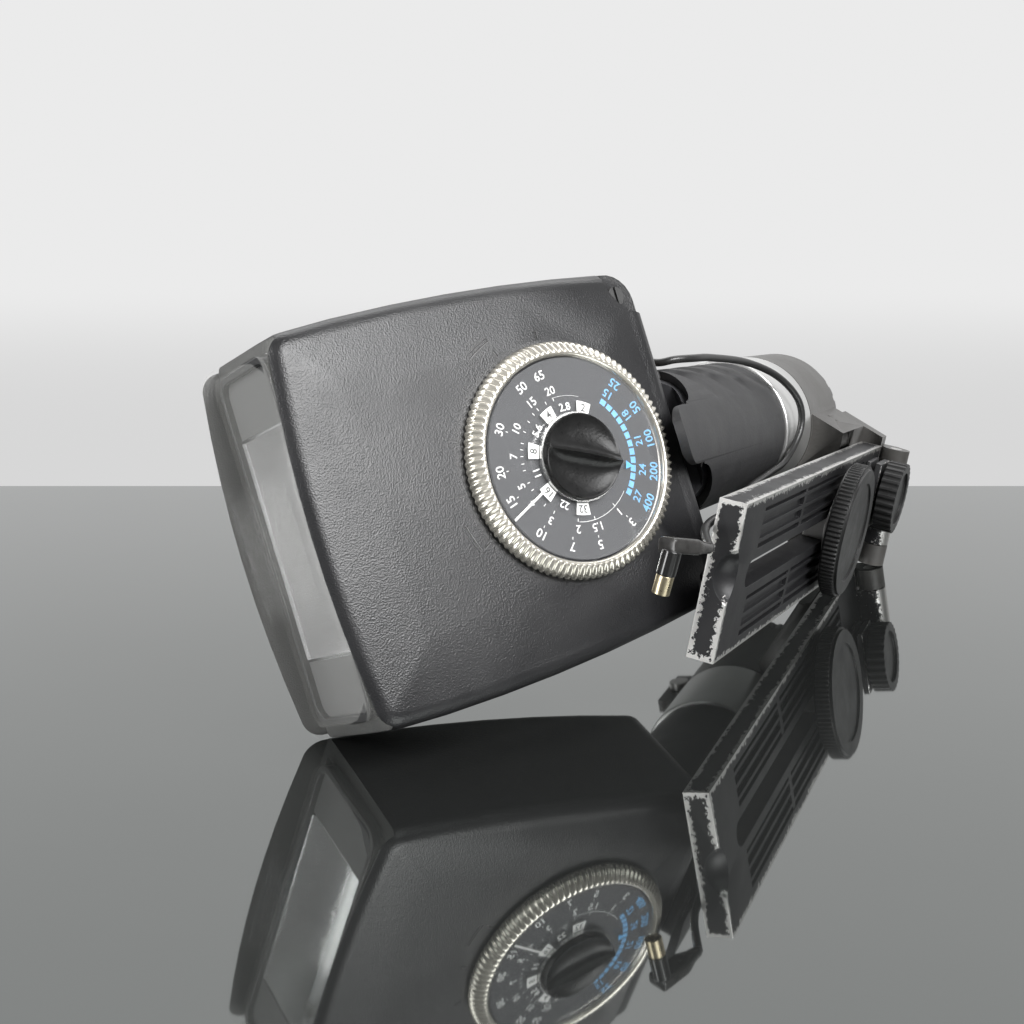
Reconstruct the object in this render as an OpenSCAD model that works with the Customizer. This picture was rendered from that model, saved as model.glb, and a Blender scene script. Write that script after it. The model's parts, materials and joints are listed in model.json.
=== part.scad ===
// Handle mount flash: a tilting lamp head with an exposure dial, a round battery grip
// and a camera rail that folds up along the grip. It lies on its side on a table.
// It is built upright, grip axis on Z and lamp towards -Y, then laid down as one.

/* [Lamp head] */
// Pivot to the front of the top face
head_front = 106.3; // [95:0.1:125]
// Lean of the front, forward to the bottom
front_lean = 3.6; // [0:0.1:6]
// Pivot to the back edge of the head
head_rear = 13.8; // [12:0.1:15]
// Width across the front
head_w_front = 104; // [90:0.5:120]
// Width across the back
head_w_rear = 98.6; // [84:0.1:110]
// Side step of the head's middle from the grip axis
head_side = -1.5; // [-3:0.1:3]
// Thickness from top face to bottom face
head_h = 44; // [38:0.5:50]
// Rounding of its upper edges
edge_r = 4.5; // [3:0.1:6]
// Rounding of its lower edges
low_edge_r = 2.5; // [1.5:0.1:6]
// Rise of the faces over their edges
crown = 0.8; // [0:0.1:2.5]
// Wall of the two shells
shell_t = 2.6; // [1.8:0.1:3.2]
// Tilt from straight ahead, as it lies
head_tilt = 56.3; // [0:0.1:90]
// Depth of the clear window cap
window_d = 7; // [4:0.5:9]
// Thickness of the upper shell's lip over the window
lip_t = 2.8; // [2:0.1:4]
// Thickness of the lower shell's lip under the window
low_lip_t = 1.2; // [0.8:0.1:3]
// Width of the lit trough
trough_w = 60; // [48:1:70]
// Depth of the lit trough
trough_d = 15; // [11:0.5:18]

/* [Exposure dial] */
// Radius of the knurled ring
ring_r = 33; // [32:0.5:36]
// Radius of the black scale disc
disc_r = 28.1; // [24:0.1:31]
// Height of the ring
ring_h = 5; // [3.5:0.1:7]
// Teeth round the ring
ring_teeth = 100; // [60:2:120]
// Radius of the centre knob
knob_r = 11.8; // [9:0.1:14]
// Height of the centre knob
knob_h = 6.5; // [5:0.1:9]
// Dial axis ahead of the tilt pivot
dial_ahead = 27.5; // [24:0.5:32]
// Dial axis to the side of the middle
dial_side = -0.9; // [-6:0.1:6]

/* [Grip] */
// Radius of the grip
grip_r = 23; // [21.5:0.1:26]
// Wall of the soft sleeve
sleeve_t = 2.6; // [2:0.1:3.5]
// Top of the sleeve's tongue behind the head
tongue_top = 17.3; // [8:0.1:22]
// Half width of the tongue and radius of its rounded top
tongue_r = 8.6; // [6:0.1:9]
// Space between the sleeve's hollow upper end and the head's sweep
tongue_gap = 1.2; // [0.8:0.1:3]
// Upper end of the smooth collar inside it
collar_top = -3; // [-12:0.5:0]
// Lower end of the sleeve below the pivot
grip_low = 93; // [80:0.5:105]
// Finger grooves on the sleeve
grip_grooves = 4; // [3:1:4]
// Spacing of the finger grooves
groove_step = 19; // [15:0.5:20]
// Radius of the pale foot
foot_r = 24; // [22.5:0.1:27]
// Radius of the turned seat for the clamp
seat_r = 20; // [18.6:0.1:22]
// Lower end of the pale foot
foot_low = 128; // [118:0.5:145]
// Length of the clamp seat
seat_len = 44; // [38:0.5:55]
// Height of the foot cap
cap_h = 8.6; // [6:0.1:12]

/* [Hinge] */
// Pivot ahead of the grip axis
pivot_ahead = 6; // [5.6:0.1:8]
// Pivot above the level that heights are taken from
pivot_up = 2.4; // [0:0.1:5]
// Pivot above the head's middle plane
mid_drop = 2.66; // [0:0.01:4]
// Radius of the neck knuckle
knuckle_r = 9; // [7.5:0.1:10.5]
// Width of the neck knuckle
knuckle_w = 27; // [22:0.1:28]
// Radius of the tilt pin
tilt_pin_r = 3; // [2:0.1:4]

/* [Bracket] */
// Turn of the bracket round the grip
bracket_turn = 60.3; // [0:0.1:90]
// Grip axis to the near face of the rail
rail_x = 35.5; // [33.5:0.1:42]
// Thickness of the rail
rail_t = 7.8; // [6:0.1:9.5]
// Width of the rail
rail_w = 45; // [38:0.5:52]
// Side step of the rail from the grip axis
rail_y = 1.5; // [0:0.1:4]
// Top end of the rail above the pivot
rail_top = 27.6; // [15:0.1:32]
// Lower end of the rail below the pivot
rail_low = 167; // [155:0.5:185]
// Width of the long slot
slot_w = 8; // [7:0.1:9]
// Radius of the rail hinge pin
fold_pin_r = 2.5; // [2:0.1:3]
// Radius of the camera screw, a quarter inch thread
screw_r = 3.175; // [3.1:0.005:3.3]
// Radius of its plain shank
shank_r = 2.9; // [2.4:0.05:3.1]
// Length of its thread above the rail's face
thread_len = 6; // [4.5:0.1:6.5]
// Radius of the large knurled knob
big_knob_r = 23; // [18:0.5:26]
// Distance of the large knob below the pivot
big_knob_z = 99; // [80:0.5:106]
// Radius of the small ribbed knob
lock_knob_r = 13; // [10:0.5:14]

/* [Cord] */
// Diameter of the sync cord
cord_d = 2.4; // [1.8:0.1:3.5]

/* [Place on the table] */
// Droop of the grip towards its foot
lay_pitch = 4.9; // [0:0.1:12]
// Roll from upright on to the side
lay_roll = 69.5; // [60:0.1:90]
// Shift along X on the table
lay_x = 20.1; // [-100:0.1:100]
// Shift along Y on the table
lay_y = -40.2; // [-100:0.1:100]
// Height of the grip axis at the pivot
lay_z = 68.8; // [40:0.1:100]

/* [Hidden] */
$fn = 96;
fine = 0.01;
run = 0.05;
gap = 0.4;
top_z = head_h / 2;
split_y = -head_front + window_d;
cave_w = knuckle_w + 1.2;
cave_front = -knuckle_r - 1.2;
cave_top = mid_drop + knuckle_r + 1.2;
core_r = grip_r - sleeve_t;
bore_r = core_r - 3;
foot_end = foot_low + seat_len;
cell_r = 7.2;
cell_len = 50.5;
cell_top = -foot_end + 1.8 + 2 * cell_len;
rail_mid = -rail_y - rail_w / 2;
rail_out = rail_x + rail_t;
fold_x = rail_out + 5.2;
fold_z = -rail_low - 3;
lug_r = 5;
lug_w = 8;
lock_y = -17;
lock_z = fold_z + 19.2;
dial_z = top_z + 0.3;
sweep_r = norm([head_rear, top_z - mid_drop]) + 0.8;
low_sweep_r = norm([head_rear, top_z + mid_drop]) + 0.8;
ring_sweep_r = norm([ring_r - dial_ahead, dial_z + ring_h - mid_drop]) + 0.6;
scoop_z = top_z - 5;
frame_half = top_z - lip_t - 4;
panel_y = split_y - 1.6;

// Places of the shell screws
SCREW_PLACES = [for (s = [-1, 1]) [s * (head_w_rear / 2 - 7), head_rear - 6.6, scoop_z]];

// Points on an arc about a centre
function arc(c, r, from, to, n) =
    [for (k = [0 : n]) c + r * [cos(from + (to - from) * k / n), sin(from + (to - from) * k / n)]];

// Plan outline of the head, drawn in all round by a step
function head_plan(step, deep = 0) =
    let (wf = head_w_front / 2 - step,
         wr = head_w_rear / 2 - step,
         y0 = -head_front + step - deep,
         y1 = head_rear - step,
         rf = max(7 - step, 2),
         rr = max(9 - step, 2),
         bow = 2.4,
         sag = 3)
    concat(
        [for (k = [-4 : 4]) [(wf - rf) * k / 4, y0 + sag * k * k / 16]],
        arc([wf - rf, y0 + sag + rf], rf, -90, 0, 6),
        [for (k = [1 : 5]) let (t = k / 6)
            [wf + (wr - wf) * t + bow * 4 * t * (1 - t), y0 + rf + (y1 - y0 - rf - rr) * t]],
        arc([wr - rr, y1 - rr], rr, 0, 90, 6),
        arc([-wr + rr, y1 - rr], rr, 90, 180, 6),
        [for (k = [1 : 5]) let (t = 1 - k / 6)
            [-wf - (wr - wf) * t - bow * 4 * t * (1 - t), y0 + rf + (y1 - y0 - rf - rr) * t]],
        arc([-wf + rf, y0 + sag + rf], rf, 180, 270, 6));

// Step of the leaning front at a height
function front_step(z) = front_lean * (top_z - z) / head_h;

// Outer form of the head: a block with rounded edges and a slight crown on both faces
module head_form(shrink = 0) {
    steps = 5;
    hull() for (s = [-1, 1]) {
        r = (s > 0 ? edge_r : low_edge_r) - shrink;
        for (k = [0 : steps]) {
            z = s * (top_z - crown - shrink - r + r * sin(90 * k / steps));
            translate([0, 0, z - fine]) linear_extrude(2 * fine)
                polygon(head_plan(shrink + r * (1 - cos(90 * k / steps)), front_step(z)));
        }
        translate([0, 0, s * (top_z - shrink - fine) - fine])
            linear_extrude(2 * fine) polygon(head_plan(edge_r + 14));
    }
}

// Rounded rectangle standing in the XZ plane and running along Y
module front_block(w, h, r, y0, y1) {
    translate([0, y1, 0]) rotate([90, 0, 0]) linear_extrude(y1 - y0)
        polygon(concat(arc([w / 2 - r, h / 2 - r], r, 0, 90, 6),
            arc([-w / 2 + r, h / 2 - r], r, 90, 180, 6),
            arc([-w / 2 + r, -h / 2 + r], r, 180, 270, 6),
            arc([w / 2 - r, -h / 2 + r], r, 270, 360, 6)));
}

// Block from one corner to the other
module block(a, b) {
    translate(a) cube(b - a);
}

// Cylinder along X through a point
module rod_x(p, r, len) {
    translate(p) rotate([0, 90, 0]) cylinder(r = r, h = len, center = true);
}

// Cylinder along Y through a point
module rod_y(p, r, len) {
    translate(p) rotate([90, 0, 0]) cylinder(r = r, h = len, center = true);
}

// Cylinder along X that starts at a point
module stub_x(p, r, len) {
    translate(p) rotate([0, 90, 0]) cylinder(r = r, h = len);
}

// Disc with straight teeth, wide and narrow radii given
module toothed(r_out, r_in, teeth, h) {
    linear_extrude(h) polygon([for (k = [0 : 4 * teeth - 1])
        let (a = 90 * (k + 0.5) / teeth, r = (k % 4 < 2) ? r_out : r_in) [r * cos(a), r * sin(a)]]);
}

// The upright flash is laid on its side on the table
module lay() {
    translate([lay_x, lay_y, lay_z]) rotate([-lay_pitch, 0, 0]) rotate([0, lay_roll, 0])
        rotate([90, 0, 0]) children();
}

// The head's own frame, tipped up about the pivot
module on_head() {
    lay() translate([head_side, -pivot_ahead, pivot_up]) rotate([-head_tilt, 0, 0])
        translate([0, 0, -mid_drop]) children();
}

// The dial's own frame on the top face of the head
module on_dial() {
    on_head() translate([dial_side, -dial_ahead, dial_z]) children();
}

// The bracket's own frame, turned round the grip
module on_bracket() {
    lay() rotate([0, 0, bracket_turn]) children();
}

// Hollow that the neck swings in, open at the back and below
module neck_cave() {
    translate([-head_side, 0, 0])
        block([-cave_w / 2, cave_front, -top_z - 5], [cave_w / 2, head_rear + 5, cave_top]);
}

// Walls of that hollow
module cave_walls() {
    translate([-head_side, 0, 0])
        block([-cave_w / 2 - shell_t, cave_front - shell_t, -top_z + 1],
            [cave_w / 2 + shell_t, head_rear - 1, top_z - 1]);
}

// Space inside the shells, open to the window
module head_inside() {
    flat = top_z - crown - shell_t;
    difference() {
        union() {
            translate([0, 0, -flat + 3.4]) linear_extrude(2 * flat - 6.8)
                polygon(head_plan(shell_t, shell_t - split_y - head_front));
            translate([0, 0, -flat]) linear_extrude(2 * flat)
                polygon(head_plan(shell_t + 2.6, 2.6));
        }
        cave_walls();
    }
}

// Front band that the clear window fills, between the lips of the shells
module window_band(slack = 0) {
    block([-80, -head_front - 5, -top_z + low_lip_t + slack], [80, split_y - slack, top_z - lip_t - slack]);
}

// Scooped corners at the back of the top face, each with a screw on its floor
module corner_scoops() {
    for (s = [-1, 1])
        translate([s * (head_w_rear / 2 - 1.5), head_rear + 0.5, scoop_z]) cylinder(r = 12, h = 10);
}

// One of the two shells of the head, above or below the parting line
module head_shell(side) {
    difference() {
        union() {
            intersection() {
                head_form();
                block([-80, -200, side > 0 ? 0 : -30], [80, 20, side > 0 ? 30 : 0]);
            }
            if (side > 0) translate([dial_side, -dial_ahead, top_z - shell_t - 1])
                cylinder(r = ring_r + 0.8, h = shell_t + 1);
        }
        window_band();
        difference() {
            head_inside();
            corner_posts(side);
            if (side > 0) board_posts();
            if (side < 0) saddles();
        }
        neck_cave();
        rod_x([-head_side, 0, mid_drop], tilt_pin_r, cave_w + 2 * shell_t);
        for (p = SCREW_PLACES)
            translate([p[0], p[1], side > 0 ? -1 : -top_z + 4]) cylinder(r = 1.5, h = 40);
        lamp_holes();
    }
}

module head_top_shell() {
    color([0.09, 0.09, 0.10]) on_head() difference() {
        head_shell(1);
        corner_scoops();
        translate([dial_side, -dial_ahead, 0]) cylinder(r = 3, h = 30);
    }
}

module head_bottom_shell() {
    color([0.09, 0.09, 0.10]) on_head() head_shell(-1);
}

// Posts in the back corners that the shell screws run in
module corner_posts(side) {
    for (s = [-1, 1]) translate([0, 0, side > 0 ? 0 : -30]) intersection() {
        translate([s * (head_w_rear / 2 - 1.5), head_rear + 0.5, 0]) cylinder(r = 14.5, h = 30);
        translate([0, 0, -1]) linear_extrude(40) polygon(head_plan(1));
    }
}

// Posts under the top face that the circuit board hangs from
module board_posts() {
    for (x = [-32, 32]) for (y = [-57, -19]) translate([x, y, 9.6]) cylinder(r = 2.5, h = 11);
}

// Saddles on the floor that the capacitor rests in
module saddles() {
    for (x = [-22, 22]) difference() {
        block([x - 1.5, -70, -top_z + 1], [x + 1.5, -54, -8]);
        rod_x([0, -62, -4], 11, 90);
    }
}

// Holes in the back for the lamp, the button and the switch
module lamp_holes() {
    rod_y([-22, head_rear, 0], 2.6, 14);
    rod_y([-29, head_rear, 0], 3.2, 14);
    block([20, head_rear - 6, -2.4], [31, head_rear + 2, 2.4]);
}

module front_window() {
    color([0.86, 0.85, 0.78, 0.5]) on_head() difference() {
        intersection() {
            head_form(0.1);
            window_band(0.05);
        }
        front_block(head_w_front - 8, head_h - 2 * lip_t - 5, 5, -head_front + 2.4, split_y + 5);
        for (k = [-9 : 9]) let (z = k * 1.6)
            block([-40, -head_front - 9, z - 0.3], [40, -head_front - front_step(z) + 0.7, z + 0.3]);
    }
}

// Hole inside the window's frame, where the lamp shows
module frame_hole() {
    front_block(head_w_front - 12, 2 * frame_half, 4, -head_front, split_y + 9);
}

module window_frame() {
    color([0.12, 0.12, 0.13]) on_head() difference() {
        front_block(head_w_front - 8, head_h - 2 * lip_t - 5, 5, -head_front + 3.6, split_y);
        frame_hole();
    }
}

// Solid parabola in the YZ plane, open side to the front, run along X
module trough_form(half, deep, len) {
    translate([-len / 2, panel_y - 0.6 + trough_d, 0]) rotate([90, 0, 90]) linear_extrude(len)
        polygon([for (k = [-12 : 12]) [deep - trough_d * k * k / 144, half * k / 12]]);
}

module reflector() {
    half = frame_half - 0.8;
    color([0.85, 0.85, 0.86]) on_head() {
        difference() {
            trough_form(half + 0.8, 0.9, trough_w + 1.6);
            trough_form(half, 0, trough_w);
        }
        for (s = [-1, 1])
            block([-trough_w / 2, panel_y - 0.6, s * (half + 0.4) - 0.4],
                [trough_w / 2, panel_y + 1.8, s * (half + 0.4) + 0.4]);
    }
}

// Flat panel beside the trough
module end_panel(s) {
    x0 = trough_w / 2 + 0.8;
    x1 = head_w_front / 2;
    color([0.55, 0.55, 0.57]) on_head() intersection() {
        block([s > 0 ? x0 : -x1, panel_y, -top_z], [s > 0 ? x1 : -x0, panel_y + 1.2, top_z]);
        frame_hole();
    }
}

module end_panel_low() end_panel(1);

module end_panel_high() end_panel(-1);

module flash_tube() {
    color([0.92, 0.94, 0.95, 0.4]) on_head()
        rod_x([0, panel_y + trough_d - 6, 0], 2.2, trough_w - 6);
}

module tube_holders() {
    color([0.75, 0.75, 0.76]) on_head() for (s = [-1, 1]) {
        rod_x([s * (trough_w / 2 - 1.5), panel_y + trough_d - 6, 0], 2.6, 3);
    }
}

module circuit_board() {
    color([0.35, 0.42, 0.22]) on_head() difference() {
        block([-36, -62, 8], [36, -14, 9.6]);
        translate([dial_side, -dial_ahead, 0]) cylinder(r = 7, h = 20);
    }
}

module main_capacitor() {
    color([0.16, 0.17, 0.22]) on_head() rod_x([0, -62, -4], 11, 62);
}

module transformer() {
    color([0.72, 0.58, 0.30]) on_head() {
        block([20, -44, -14], [38, -26, 2]);
        block([24, -40, 2], [34, -30, 8]);
    }
}

module tilt_pin() {
    color([0.7, 0.7, 0.7]) on_head()
        rod_x([-head_side, 0, mid_drop], tilt_pin_r, cave_w + 2 * shell_t);
}

module shell_screws() {
    color([0.6, 0.6, 0.6]) on_head() for (p = SCREW_PLACES) difference() {
        union() {
            translate(p) cylinder(r = 2.7, h = 1.5);
            translate(p - [0, 0, 22]) cylinder(r = 1.5, h = 22);
        }
        translate(p + [-3, -0.4, 0.8]) cube([6, 0.8, 2]);
    }
}

module ready_lamp() {
    color([0.95, 0.45, 0.12]) on_head() {
        rod_y([-22, head_rear - 2.4, 0], 2.6, 5.6);
    }
}

module test_button() {
    color([0.1, 0.1, 0.1]) on_head() {
        rod_y([-29, head_rear - 2.4, 0], 3.2 - run, 7);
    }
}

module power_switch() {
    color([0.15, 0.15, 0.15]) on_head() {
        block([20.4, head_rear - 4.4, -2.2], [27.4, head_rear - 1, 2.2]);
        block([22.4, head_rear - 1, -2.2], [25.4, head_rear + 1.4, 2.2]);
    }
}

module dial_spindle() {
    color([0.7, 0.7, 0.7]) on_dial() {
        translate([0, 0, -shell_t - 4.2]) cylinder(r = 3, h = shell_t + 4.2 + ring_h + 3);
        translate([0, 0, -shell_t - 4.2]) cylinder(r = 5, h = 1.6);
    }
}

module scale_disc() {
    color([0.03, 0.03, 0.03]) on_dial() difference() {
        cylinder(r = disc_r, h = ring_h - 1.6);
        translate([0, 0, -1]) cylinder(r = 3 + run, h = 20);
    }
}

module dial_ring() {
    color([0.78, 0.79, 0.80]) on_dial() difference() {
        union() {
            toothed(ring_r, ring_r - 0.5, ring_teeth, ring_h - 1);
            cylinder(r = ring_r - 0.9, h = ring_h);
        }
        translate([0, 0, -1]) cylinder(r = disc_r, h = 20);
    }
}

module cursor_disc() {
    color([0.85, 0.86, 0.87, 0.4]) on_dial() difference() {
        translate([0, 0, ring_h - 1.2]) cylinder(r = disc_r - 0.5, h = 0.9);
        translate([0, 0, -1]) cylinder(r = 3 + run, h = 20);
    }
}

module speed_knob() {
    z0 = ring_h - 0.3;
    color([0.05, 0.05, 0.05]) on_dial() difference() {
        translate([0, 0, z0]) cylinder(r = knob_r, h = knob_h);
        translate([0, 0, z0 - 1]) cylinder(r = 3 + run, h = 1 + 3.7);
        translate([0, 0, z0 - 1]) difference() {
            cylinder(r = knob_r + 1, h = 2.2);
            cylinder(r = knob_r - 1.4, h = 2.2);
        }
        for (s = [-1, 1]) translate([0, s * (knob_r + 4), z0 + 2.6])
            cylinder(r = knob_r + 1.4, h = knob_h);
    }
}

module knob_ring() {
    color([0.8, 0.8, 0.8]) on_dial() difference() {
        translate([0, 0, ring_h - 0.3]) cylinder(r = knob_r + 0.5, h = 1.2);
        translate([0, 0, -1]) cylinder(r = knob_r - 1.4, h = 20);
    }
}

// Everything that the head and its dial sweep through as the head tilts
module head_sweep() {
    near = -pivot_ahead + head_rear + 0.8;
    floor_z = pivot_up - head_rear - 0.8;
    difference() {
        rod_x([0, -pivot_ahead, pivot_up], sweep_r, 80);
        block([-50, -60, -60], [50, 60, floor_z]);
    }
    difference() {
        rod_x([0, -pivot_ahead, pivot_up], low_sweep_r, 80);
        block([-50, near, -60], [50, 60, 60]);
    }
    difference() {
        rod_x([0, -pivot_ahead, pivot_up], ring_sweep_r, 80);
        block([-50, -60, -60], [50, 60, pivot_up - 7]);
    }
    block([-50, -60, pivot_up], [50, -pivot_ahead + ring_sweep_r, 60]);
}

module neck() {
    color([0.07, 0.07, 0.08]) lay() difference() {
        union() {
            difference() {
                translate([0, 0, -44]) cylinder(r = core_r, h = 44 + collar_top);
                head_sweep();
            }
            rod_x([0, -pivot_ahead, pivot_up], knuckle_r, knuckle_w);
            block([-knuckle_w / 2, -pivot_ahead - knuckle_r, -36],
                [knuckle_w / 2, -pivot_ahead + knuckle_r, pivot_up]);
        }
        rod_x([0, -pivot_ahead, pivot_up], tilt_pin_r + run, 90);
        translate([0, 6, -60]) cylinder(r = 3, h = 40);
        rod_y([0, -core_r, -38], 4, 8);
        between(GLAND_IN, GLAND_OUT) cylinder(r = 3.2, h = 20);
    }
}

module sensor_window() {
    color([0.25, 0.06, 0.06]) lay() {
        rod_y([0, -core_r + 0.4, -38], 4, 7.2);
    }
}

module grip_sleeve() {
    color([0.14, 0.14, 0.15]) lay() difference() {
        translate([0, 0, -grip_low]) cylinder(r = grip_r, h = grip_low + tongue_top + 5);
        translate([0, 0, -grip_low - 1]) cylinder(r = core_r, h = grip_low + 60);
        translate([0, 0, -1.2]) head_sweep();
        rod_x([0, -pivot_ahead, pivot_up], max(sweep_r, ring_sweep_r) + tongue_gap, 80);
        difference() {
            block([-40, -40, pivot_up], [40, 40, 60]);
            block([-tongue_r, -40, pivot_up - 1], [tongue_r, 40, tongue_top - tongue_r]);
            rod_y([0, 20, tongue_top - tongue_r], tongue_r, 40);
        }
        for (k = [0 : grip_grooves - 1])
            translate([2.2, 1.2, -33 - k * groove_step]) rotate([0, 12, 0])
                rotate_extrude() translate([grip_r + 9, 0]) circle(r = 9, $fn = 48);
        rod_y([0, -core_r, -38], 4.4, 16);
        between(GLAND_IN, GLAND_OUT) cylinder(r = 4.2, h = 20);
    }
}

module grip_tube() {
    color([0.55, 0.55, 0.56]) lay() difference() {
        translate([0, 0, -grip_low]) cylinder(r = core_r, h = grip_low - 44);
        translate([0, 0, -grip_low - 1]) cylinder(r = bore_r, h = grip_low);
    }
}

module foot_tube() {
    color([0.68, 0.68, 0.69]) lay() difference() {
        union() {
            translate([0, 0, -foot_low]) cylinder(r = foot_r, h = foot_low - grip_low);
            translate([0, 0, -foot_end]) cylinder(r = seat_r, h = seat_len + 1);
        }
        translate([0, 0, -foot_end - 1]) cylinder(r = bore_r - 0.2, h = 120);
    }
}

module batteries() {
    color([0.75, 0.6, 0.25]) lay() for (s = [-1, 1]) for (k = [0, 1])
        translate([s * (cell_r + 0.2), 0, -foot_end + 1.8 + k * cell_len]) {
            cylinder(r = cell_r, h = cell_len - 1.4);
            cylinder(r = 2.6, h = cell_len);
        }
}

module upper_contact() {
    color([0.8, 0.7, 0.4]) lay()
        translate([0, 0, cell_top]) cylinder(r = bore_r, h = 1.6);
}

module lower_contact() {
    color([0.8, 0.7, 0.4]) lay()
        translate([0, 0, -foot_end + 0.6]) cylinder(r = bore_r - 0.8, h = 0.9);
}

module foot_cap() {
    color([0.10, 0.10, 0.11]) lay() difference() {
        union() {
            translate([0, 0, -foot_end - 0.4 - cap_h]) cylinder(r = seat_r + 2, h = cap_h);
            translate([0, 0, -foot_end - 1.4]) cylinder(r = bore_r - 0.6, h = 2);
        }
        for (k = [0 : 23]) rotate([0, 0, 15 * k])
            translate([seat_r + 2.9, 0, -foot_end - cap_h - 1]) cylinder(r = 1.5, h = cap_h + 2, $fn = 24);
        block([-12, -1, -foot_end - cap_h - 1], [12, 1, -foot_end - cap_h + 1.2]);
    }
}

// Outline of the arm seen along the grip, from one distance out to another
function arm_outline(x0, x1) =
    let (back = [for (x = [x0, x1]) 10.5 - (x - 16) / 3],
         front = rail_mid - rail_w / 2 + 0.1)
    [[x0, back[0]], [x1, back[1]], [x1, front], [30, front], [x0, -24]];

module clamp_arm() {
    ring_top = -foot_low - gap;
    ring_low = -foot_end + 2;
    plate_low = fold_z - 6;
    plate_x = fold_x - lug_r - 0.7;
    near_x = rail_x - 0.6;
    color([0.13, 0.13, 0.14]) on_bracket() difference() {
        union() {
            translate([0, 0, ring_low]) cylinder(r = foot_r, h = ring_top - ring_low);
            translate([0, 0, ring_low]) linear_extrude(ring_top - 2 - ring_low) polygon(arm_outline(12, near_x));
            translate([0, 0, plate_low]) linear_extrude(7.9) polygon(arm_outline(25.5, plate_x));
            translate([0, 0, plate_low]) linear_extrude(20) polygon(arm_outline(25.5, near_x));
            for (s = [-1, 1]) {
                rod_y([fold_x, rail_mid + s * (rail_w - lug_w) / 2, fold_z], lug_r, lug_w - 0.2);
                block([plate_x - 1, rail_mid + s * (rail_w - lug_w) / 2 - lug_w / 2 + 0.1, plate_low],
                    [fold_x, rail_mid + s * (rail_w - lug_w) / 2 + lug_w / 2 - 0.1, fold_z]);
            }
            block([-foot_r - 10, -6, ring_low + 6], [-seat_r - 1, 6, ring_top - 10]);
        }
        translate([0, 0, -foot_end - 20]) cylinder(r = seat_r + run, h = 90);
        translate([0, 0, -foot_end - 20]) cylinder(r = seat_r + 2.6, h = 20.4);
        block([-50, -1, -foot_end - 10], [-10, 1, -foot_low + 5]);
        for (k = [0, 1]) translate([0, 1, 0])
            block([foot_r + 1 + 3 * k, 6.2 - k, -147], [near_x + 1, 9, -145.4]);
        rod_y([fold_x, rail_mid, fold_z], fold_pin_r, 90);
        rod_y([-foot_r - 5, 0, (ring_low + ring_top) / 2 - 2], 2, 40);
    }
}

module clamp_screw() {
    z = (-foot_low - gap - foot_end + 2) / 2 - 2;
    color([0.7, 0.7, 0.7]) on_bracket() {
        rod_y([-foot_r - 5, 0, z], 2, 14);
        rod_y([-foot_r - 5, -7.5, z], 3.8, 3);
        rod_y([-foot_r - 5, 7.5, z], 3.8, 3);
    }
}

module fold_pin() {
    color([0.7, 0.7, 0.7]) on_bracket() rod_y([fold_x, rail_mid, fold_z], fold_pin_r, rail_w - 0.2);
}

module rail() {
    panel_d = 1.5;
    slot_top = rail_top - 16.5 - slot_w / 2;
    slot_low = -big_knob_z - 16;
    knuckle_len = rail_w - 2 * lug_w - 0.6;
    color([0.10, 0.10, 0.11]) on_bracket() difference() {
        union() {
            difference() {
                block([rail_x, rail_mid - rail_w / 2, -rail_low], [rail_out, rail_mid + rail_w / 2, rail_top]);
                for (s = [-1, 1]) difference() {
                    y0 = rail_mid + s * (rail_w / 2 - 9.5);
                    block([rail_out - panel_d, y0 - 6, -rail_low + 30], [rail_out + 1, y0 + 6, rail_top - 23]);
                    for (k = [-1, 0, 1])
                        block([0, y0 + k * 4 - 0.6, -rail_low], [rail_out - 0.2, y0 + k * 4 + 0.6, rail_top]);
                    block([0, y0 - 7, rail_top - 77], [rail_out - 0.2, y0 + 7, rail_top - 74]);
                }
            }
            block([rail_x + 2, rail_mid - knuckle_len / 2, -rail_low - 0.6],
                [rail_out, rail_mid + knuckle_len / 2, -rail_low + 4]);
            rod_y([fold_x, rail_mid, fold_z], lug_r, knuckle_len);
            block([rail_out - 3, rail_mid - knuckle_len / 2, -rail_low - 0.6],
                [fold_x, rail_mid + knuckle_len / 2, -rail_low + 2]);
        }
        hull() for (z = [slot_low, slot_top]) stub_x([rail_x - 5, rail_mid, z], slot_w / 2, 30);
        translate([rail_out + 3.4, rail_mid + 2, rail_top + 3]) rotate([0, 90, 0]) sphere(r = 9, $fn = 48);
        rod_y([fold_x, rail_mid, fold_z], fold_pin_r + run, 90);
        stub_x([0, lock_y, lock_z], 2.5 + run, 80);
    }
}

module lock_block() {
    color([0.18, 0.18, 0.19]) on_bracket() difference() {
        block([rail_out, lock_y - 12, lock_z - 8], [rail_out + 5.6, lock_y + 12, lock_z + 8]);
        stub_x([0, lock_y, lock_z], 2.5 + run, 80);
        for (s = [-1, 1])
            block([rail_out + 1.6, lock_y + s * 9 - 4, lock_z - 20], [rail_out + 3.2, lock_y + s * 9 + 4, lock_z + 20]);
    }
}

module lock_screw() {
    color([0.7, 0.7, 0.7]) on_bracket() stub_x([rail_x + 0.4, lock_y, lock_z], 2.5, rail_t + 9);
}

module lock_knob() {
    x0 = rail_out + 6;
    color([0.12, 0.12, 0.13]) on_bracket() difference() {
        union() {
            stub_x([x0, lock_y, lock_z], 7, 1);
            stub_x([x0 + 1, lock_y, lock_z], lock_knob_r, 6.6);
        }
        stub_x([0, lock_y, lock_z], 2.5, rail_x + rail_t + 9.4);
        for (k = [0 : 27]) translate([x0, lock_y, lock_z]) rotate([k * 360 / 28, 0, 0])
            translate([0, lock_knob_r + 0.5, 0]) stub_x([0, 0, 0], 1.1, 20, $fn = 24);
        stub_x([x0 + 6.6, lock_y, lock_z], lock_knob_r - 3.4, 5);
    }
}

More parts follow.
